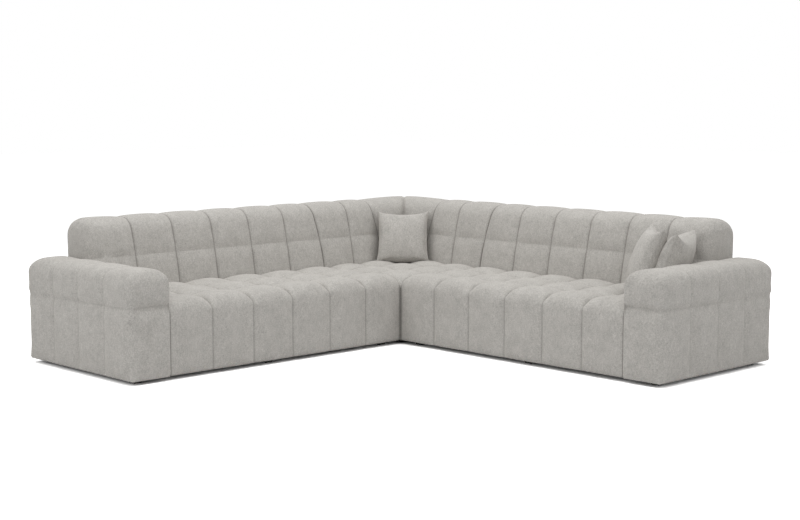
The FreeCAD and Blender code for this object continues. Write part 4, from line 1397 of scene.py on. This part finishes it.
# What the frame's own pieces are made of. Each comment says what it gives the eye.
FRAME_FINISHES = {finish.name: finish for finish in (
    # pale sawn boards with long darker grain lines
    PlainFinish("planed_pine", "#b98f5c", "#d9b883", 9.0, 0.6, (0.06, 1.0, 1.0)),
    # dense brown board with a fine fleck
    PlainFinish("pressed_hardboard", "#5f4029", "#7d5a3c", 3.0, 0.7),
    # open cream cells
    PlainFinish("cut_polyurethane_foam", "#d9cfa8", "#efe7c6", 2.0, 0.95),
    # soft white fibre
    PlainFinish("polyester_fibre", "#dededa", "#f5f5f2", 6.0, 0.95),
    # flat dark bands with a rib along them
    PlainFinish("woven_elastic", "#1e1e21", "#38383c", 2.5, 0.85, (1.0, 1.0, 0.2)),
    # grey wire with a faint drawn sheen
    PlainFinish("drawn_spring_steel", "#6a6a6c", "#8b8b8e", 1.5, 0.35, (0.1, 1.0, 1.0),
                metal=1.0, relief_mm=0.05),
    # bright cool grey sheet, slightly clouded
    PlainFinish("zinc_plated_steel", "#a6a8ab", "#c4c6c8", 12.0, 0.38, metal=1.0, relief_mm=0.05),
    # black cloth with a fine spun fibre
    PlainFinish("spun_bonded_cloth", "#121212", "#222222", 1.5, 0.9),
    # dull black with the faint texture of the mould
    PlainFinish("moulded_polypropylene", "#0f0f10", "#1c1c1e", 1.2, 0.55, relief_mm=0.1),
)}

NODE_FINISHES = {
    "foam": "cut_polyurethane_foam",
    "filling": "polyester_fibre",
    "webbing": "woven_elastic",
    "springs": "drawn_spring_steel",
    "clips": "zinc_plated_steel",
    "connectors": "zinc_plated_steel",
    "dust_cover": "spun_bonded_cloth",
    "feet": "moulded_polypropylene",
    "panel": "pressed_hardboard",
    "panels": "pressed_hardboard",
}


@dataclass
class Carcass:
    """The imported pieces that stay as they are: frame, springs, foam, feet and plates."""

    def dress(self, hidden: set[str]) -> None:
        """Give each kept node its finish.

        Args:
            hidden: Nodes that another piece stands for.
        """
        made = {name: finish.make() for name, finish in FRAME_FINISHES.items()}
        for name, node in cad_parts.items():
            if name in hidden:
                continue
            words = [word for word in NODE_FINISHES if name.endswith(word)]
            finish = NODE_FINISHES[words[0]] if words else "planed_pine"
            cover_with(node, made[finish])


# The picture


def seen_directly(tree: bpy.types.NodeTree) -> bpy.types.NodeSocket:
    """Tell rays that show a thing in the picture from those that only light it.

    Args:
        tree: The node tree.

    Returns:
        A factor of 1 for camera, glossy and transmission rays, else 0.
    """
    rays = add_node(tree, "ShaderNodeLightPath").outputs
    either = add_node(tree, "ShaderNodeMath", operation="MAXIMUM",
                      links={0: rays["Is Camera Ray"], 1: rays["Is Glossy Ray"]})
    return add_node(tree, "ShaderNodeMath", operation="MAXIMUM",
                    links={0: either.outputs[0], 1: rays["Is Transmission Ray"]}).outputs[0]


@dataclass(frozen=True)
class Lamp:
    """Square area lamp that faces the middle of the sofa."""

    name: str
    place: tuple[float, float, float]
    watts: float
    breadth: float
    target: tuple[float, float, float] = (0.0, 0.0, 0.4)

    def hang(self) -> None:
        """Put the lamp in the scene."""
        data = bpy.data.lights.new(self.name, "AREA")
        data.energy = self.watts
        data.size = self.breadth
        lamp = bpy.data.objects.new(self.name, data)
        lamp.location = self.place
        ahead = Vector(self.target) - Vector(self.place)
        lamp.rotation_euler = ahead.to_track_quat("-Z", "Y").to_euler()
        bpy.context.scene.collection.objects.link(lamp)


@dataclass
class Studio:
    """Camera, pale floor and soft light."""

    image_width: int = 800
    focal_pixels: float = 1448.5
    sensor_mm: float = 36.0
    place: tuple[float, float, float] = (5.7182, -5.4790, 1.4449)
    heading: float = math.pi * 0.75 + 0.0201
    tilt: float = -0.1093
    floor_size: float = 60.0
    # Above 1, so that the floor is clear white to the camera and only shadows show on it
    floor_white: float = 2.1
    floor_grey: str = "#dcdcdc"
    sky: float = 0.50
    lamps: tuple[Lamp, ...] = (
        Lamp("overhead", (0.0, 0.0, 4.6), 160.0, 6.0),
        Lamp("left_side", (-0.6, -5.6, 2.6), 58.0, 3.0),
        Lamp("right_side", (5.6, 0.6, 2.6), 37.0, 3.0),
    )

    def camera(self) -> None:
        """Camera at the photograph's place and angle."""
        forward = Vector((math.cos(self.heading) * math.cos(self.tilt),
                          math.sin(self.heading) * math.cos(self.tilt), math.sin(self.tilt)))
        data = bpy.data.cameras.new("camera")
        data.sensor_width = self.sensor_mm
        data.lens = self.focal_pixels * self.sensor_mm / self.image_width
        camera = bpy.data.objects.new("camera", data)
        camera.location = self.place
        camera.rotation_euler = forward.to_track_quat("-Z", "Y").to_euler()
        bpy.context.scene.collection.objects.link(camera)
        bpy.context.scene.camera = camera

    def floor(self) -> None:
        """White floor that keeps the shadow under the sofa."""
        half = self.floor_size / 2
        corners = np.array([(-half, -half, 0), (half, -half, 0), (half, half, 0), (-half, half, 0)])
        floor = new_mesh("floor", corners, [(0, 1, 2, 3)])
        material, tree = new_material("white_studio_floor")
        lit = add_node(tree, "ShaderNodeBsdfDiffuse", {"Color": linear(self.floor_grey)})
        white = add_node(tree, "ShaderNodeBsdfDiffuse", {"Color": (*[self.floor_white] * 3, 1.0)})
        mixed = add_node(tree, "ShaderNodeMixShader",
                         links={0: seen_directly(tree), 1: lit.outputs[0], 2: white.outputs[0]})
        add_node(tree, "ShaderNodeOutputMaterial", links={"Surface": mixed.outputs[0]})
        floor.data.materials.append(material)

    def world(self) -> None:
        """Even light from all round, and white where the camera looks past the floor."""
        world = bpy.data.worlds.new("studio")
        bpy.context.scene.world = world
        world.use_nodes = True
        tree = world.node_tree
        tree.nodes.clear()
        soft, white = (add_node(tree, "ShaderNodeBackground", {"Color": linear("#ffffff"),
                                                               "Strength": strength})
                       for strength in (self.sky, 1.0))
        mixed = add_node(tree, "ShaderNodeMixShader",
                         links={0: seen_directly(tree), 1: soft.outputs[0], 2: white.outputs[0]})
        add_node(tree, "ShaderNodeOutputWorld", links={"Surface": mixed.outputs[0]})

    def build(self) -> None:
        """Set up the whole picture."""
        self.camera()
        self.floor()
        self.world()
        for lamp in self.lamps:
            lamp.hang()
        bpy.context.scene.view_settings.view_transform = "Standard"


@dataclass
class Upholstery:
    """All quilted covers of the sofa."""

    seat: WingSeat = field(default_factory=WingSeat)
    back: WingBack = field(default_factory=WingBack)
    arm: Arm = field(default_factory=Arm)
    corner_seat: CornerSeat = field(default_factory=CornerSeat)
    corner_back: CornerBack = field(default_factory=CornerBack)
    fill: float = 0.8

    def build(self, fabric: bpy.types.Material) -> set[str]:
        """Build every cover, dress it and put it in its node's place.

        Args:
            fabric: The upholstery fabric.

        Returns:
            The nodes that the covers stand for.
        """
        made = {}
        for part, maker in (("seat", self.seat), ("back", self.back), ("arm", self.arm)):
            left = maker.build(f"left_{part}_upholstery")
            made[f"left_{part}_cover"] = left
            made[f"right_{part}_cover"] = mirrored_piece(left, f"right_{part}_upholstery")
        made["corner_seat_cover"] = self.corner_seat.build("corner_seat_upholstery")
        made["corner_back_cover"] = self.corner_back.build("corner_back_upholstery")
        stood_for = set()
        for node, piece in made.items():
            cover_with(piece, fabric)
            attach(piece, "sofa")
            nodes = [node, node.replace("_cover", "_foam")]
            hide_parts(*nodes)
            stood_for.update(nodes)
            LOG.info("%s: %d faces", piece.name, len(piece.data.polygons))
        return stood_for


CUSHIONS = (
    Cushion("corner_cushion", "corner_pillow_cover", 135.0, 22.0, shift=(0.0, 0.0, mm(-13)),
            side_pull=0.06, top_pull=0.13, bottom_pull=-0.06),
    Cushion("inner_cushion", "inner_pillow_cover", 46.0, 21.0, shift=(mm(-6), mm(-6), mm(-4)),
            thickness=mm(134), top_pull=0.14),
    Cushion("outer_cushion", "outer_pillow_cover", 20.0, 21.0, shift=(mm(18), mm(10), mm(-7))),
)


def main() -> None:
    """Build the picture, the covers, the cushions and the finishes."""
    logging.basicConfig(level=logging.INFO, format="%(message)s")
    Studio().build()
    hidden = Upholstery().build(Boucle().make())
    cushion_fabric = Boucle(name="cushion_boucle").make()
    for cushion in CUSHIONS:
        piece = cushion.build()
        cover_with(piece, cushion_fabric)
        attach(piece, cushion.node.removesuffix("_cover"))
        nodes = [cushion.node, cushion.node.replace("_cover", "_filling")]
        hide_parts(*nodes)
        hidden.update(nodes)
        LOG.info("%s: %d faces", piece.name, len(piece.data.polygons))
    Carcass().dress(hidden)


if __name__ == "__main__":
    main()
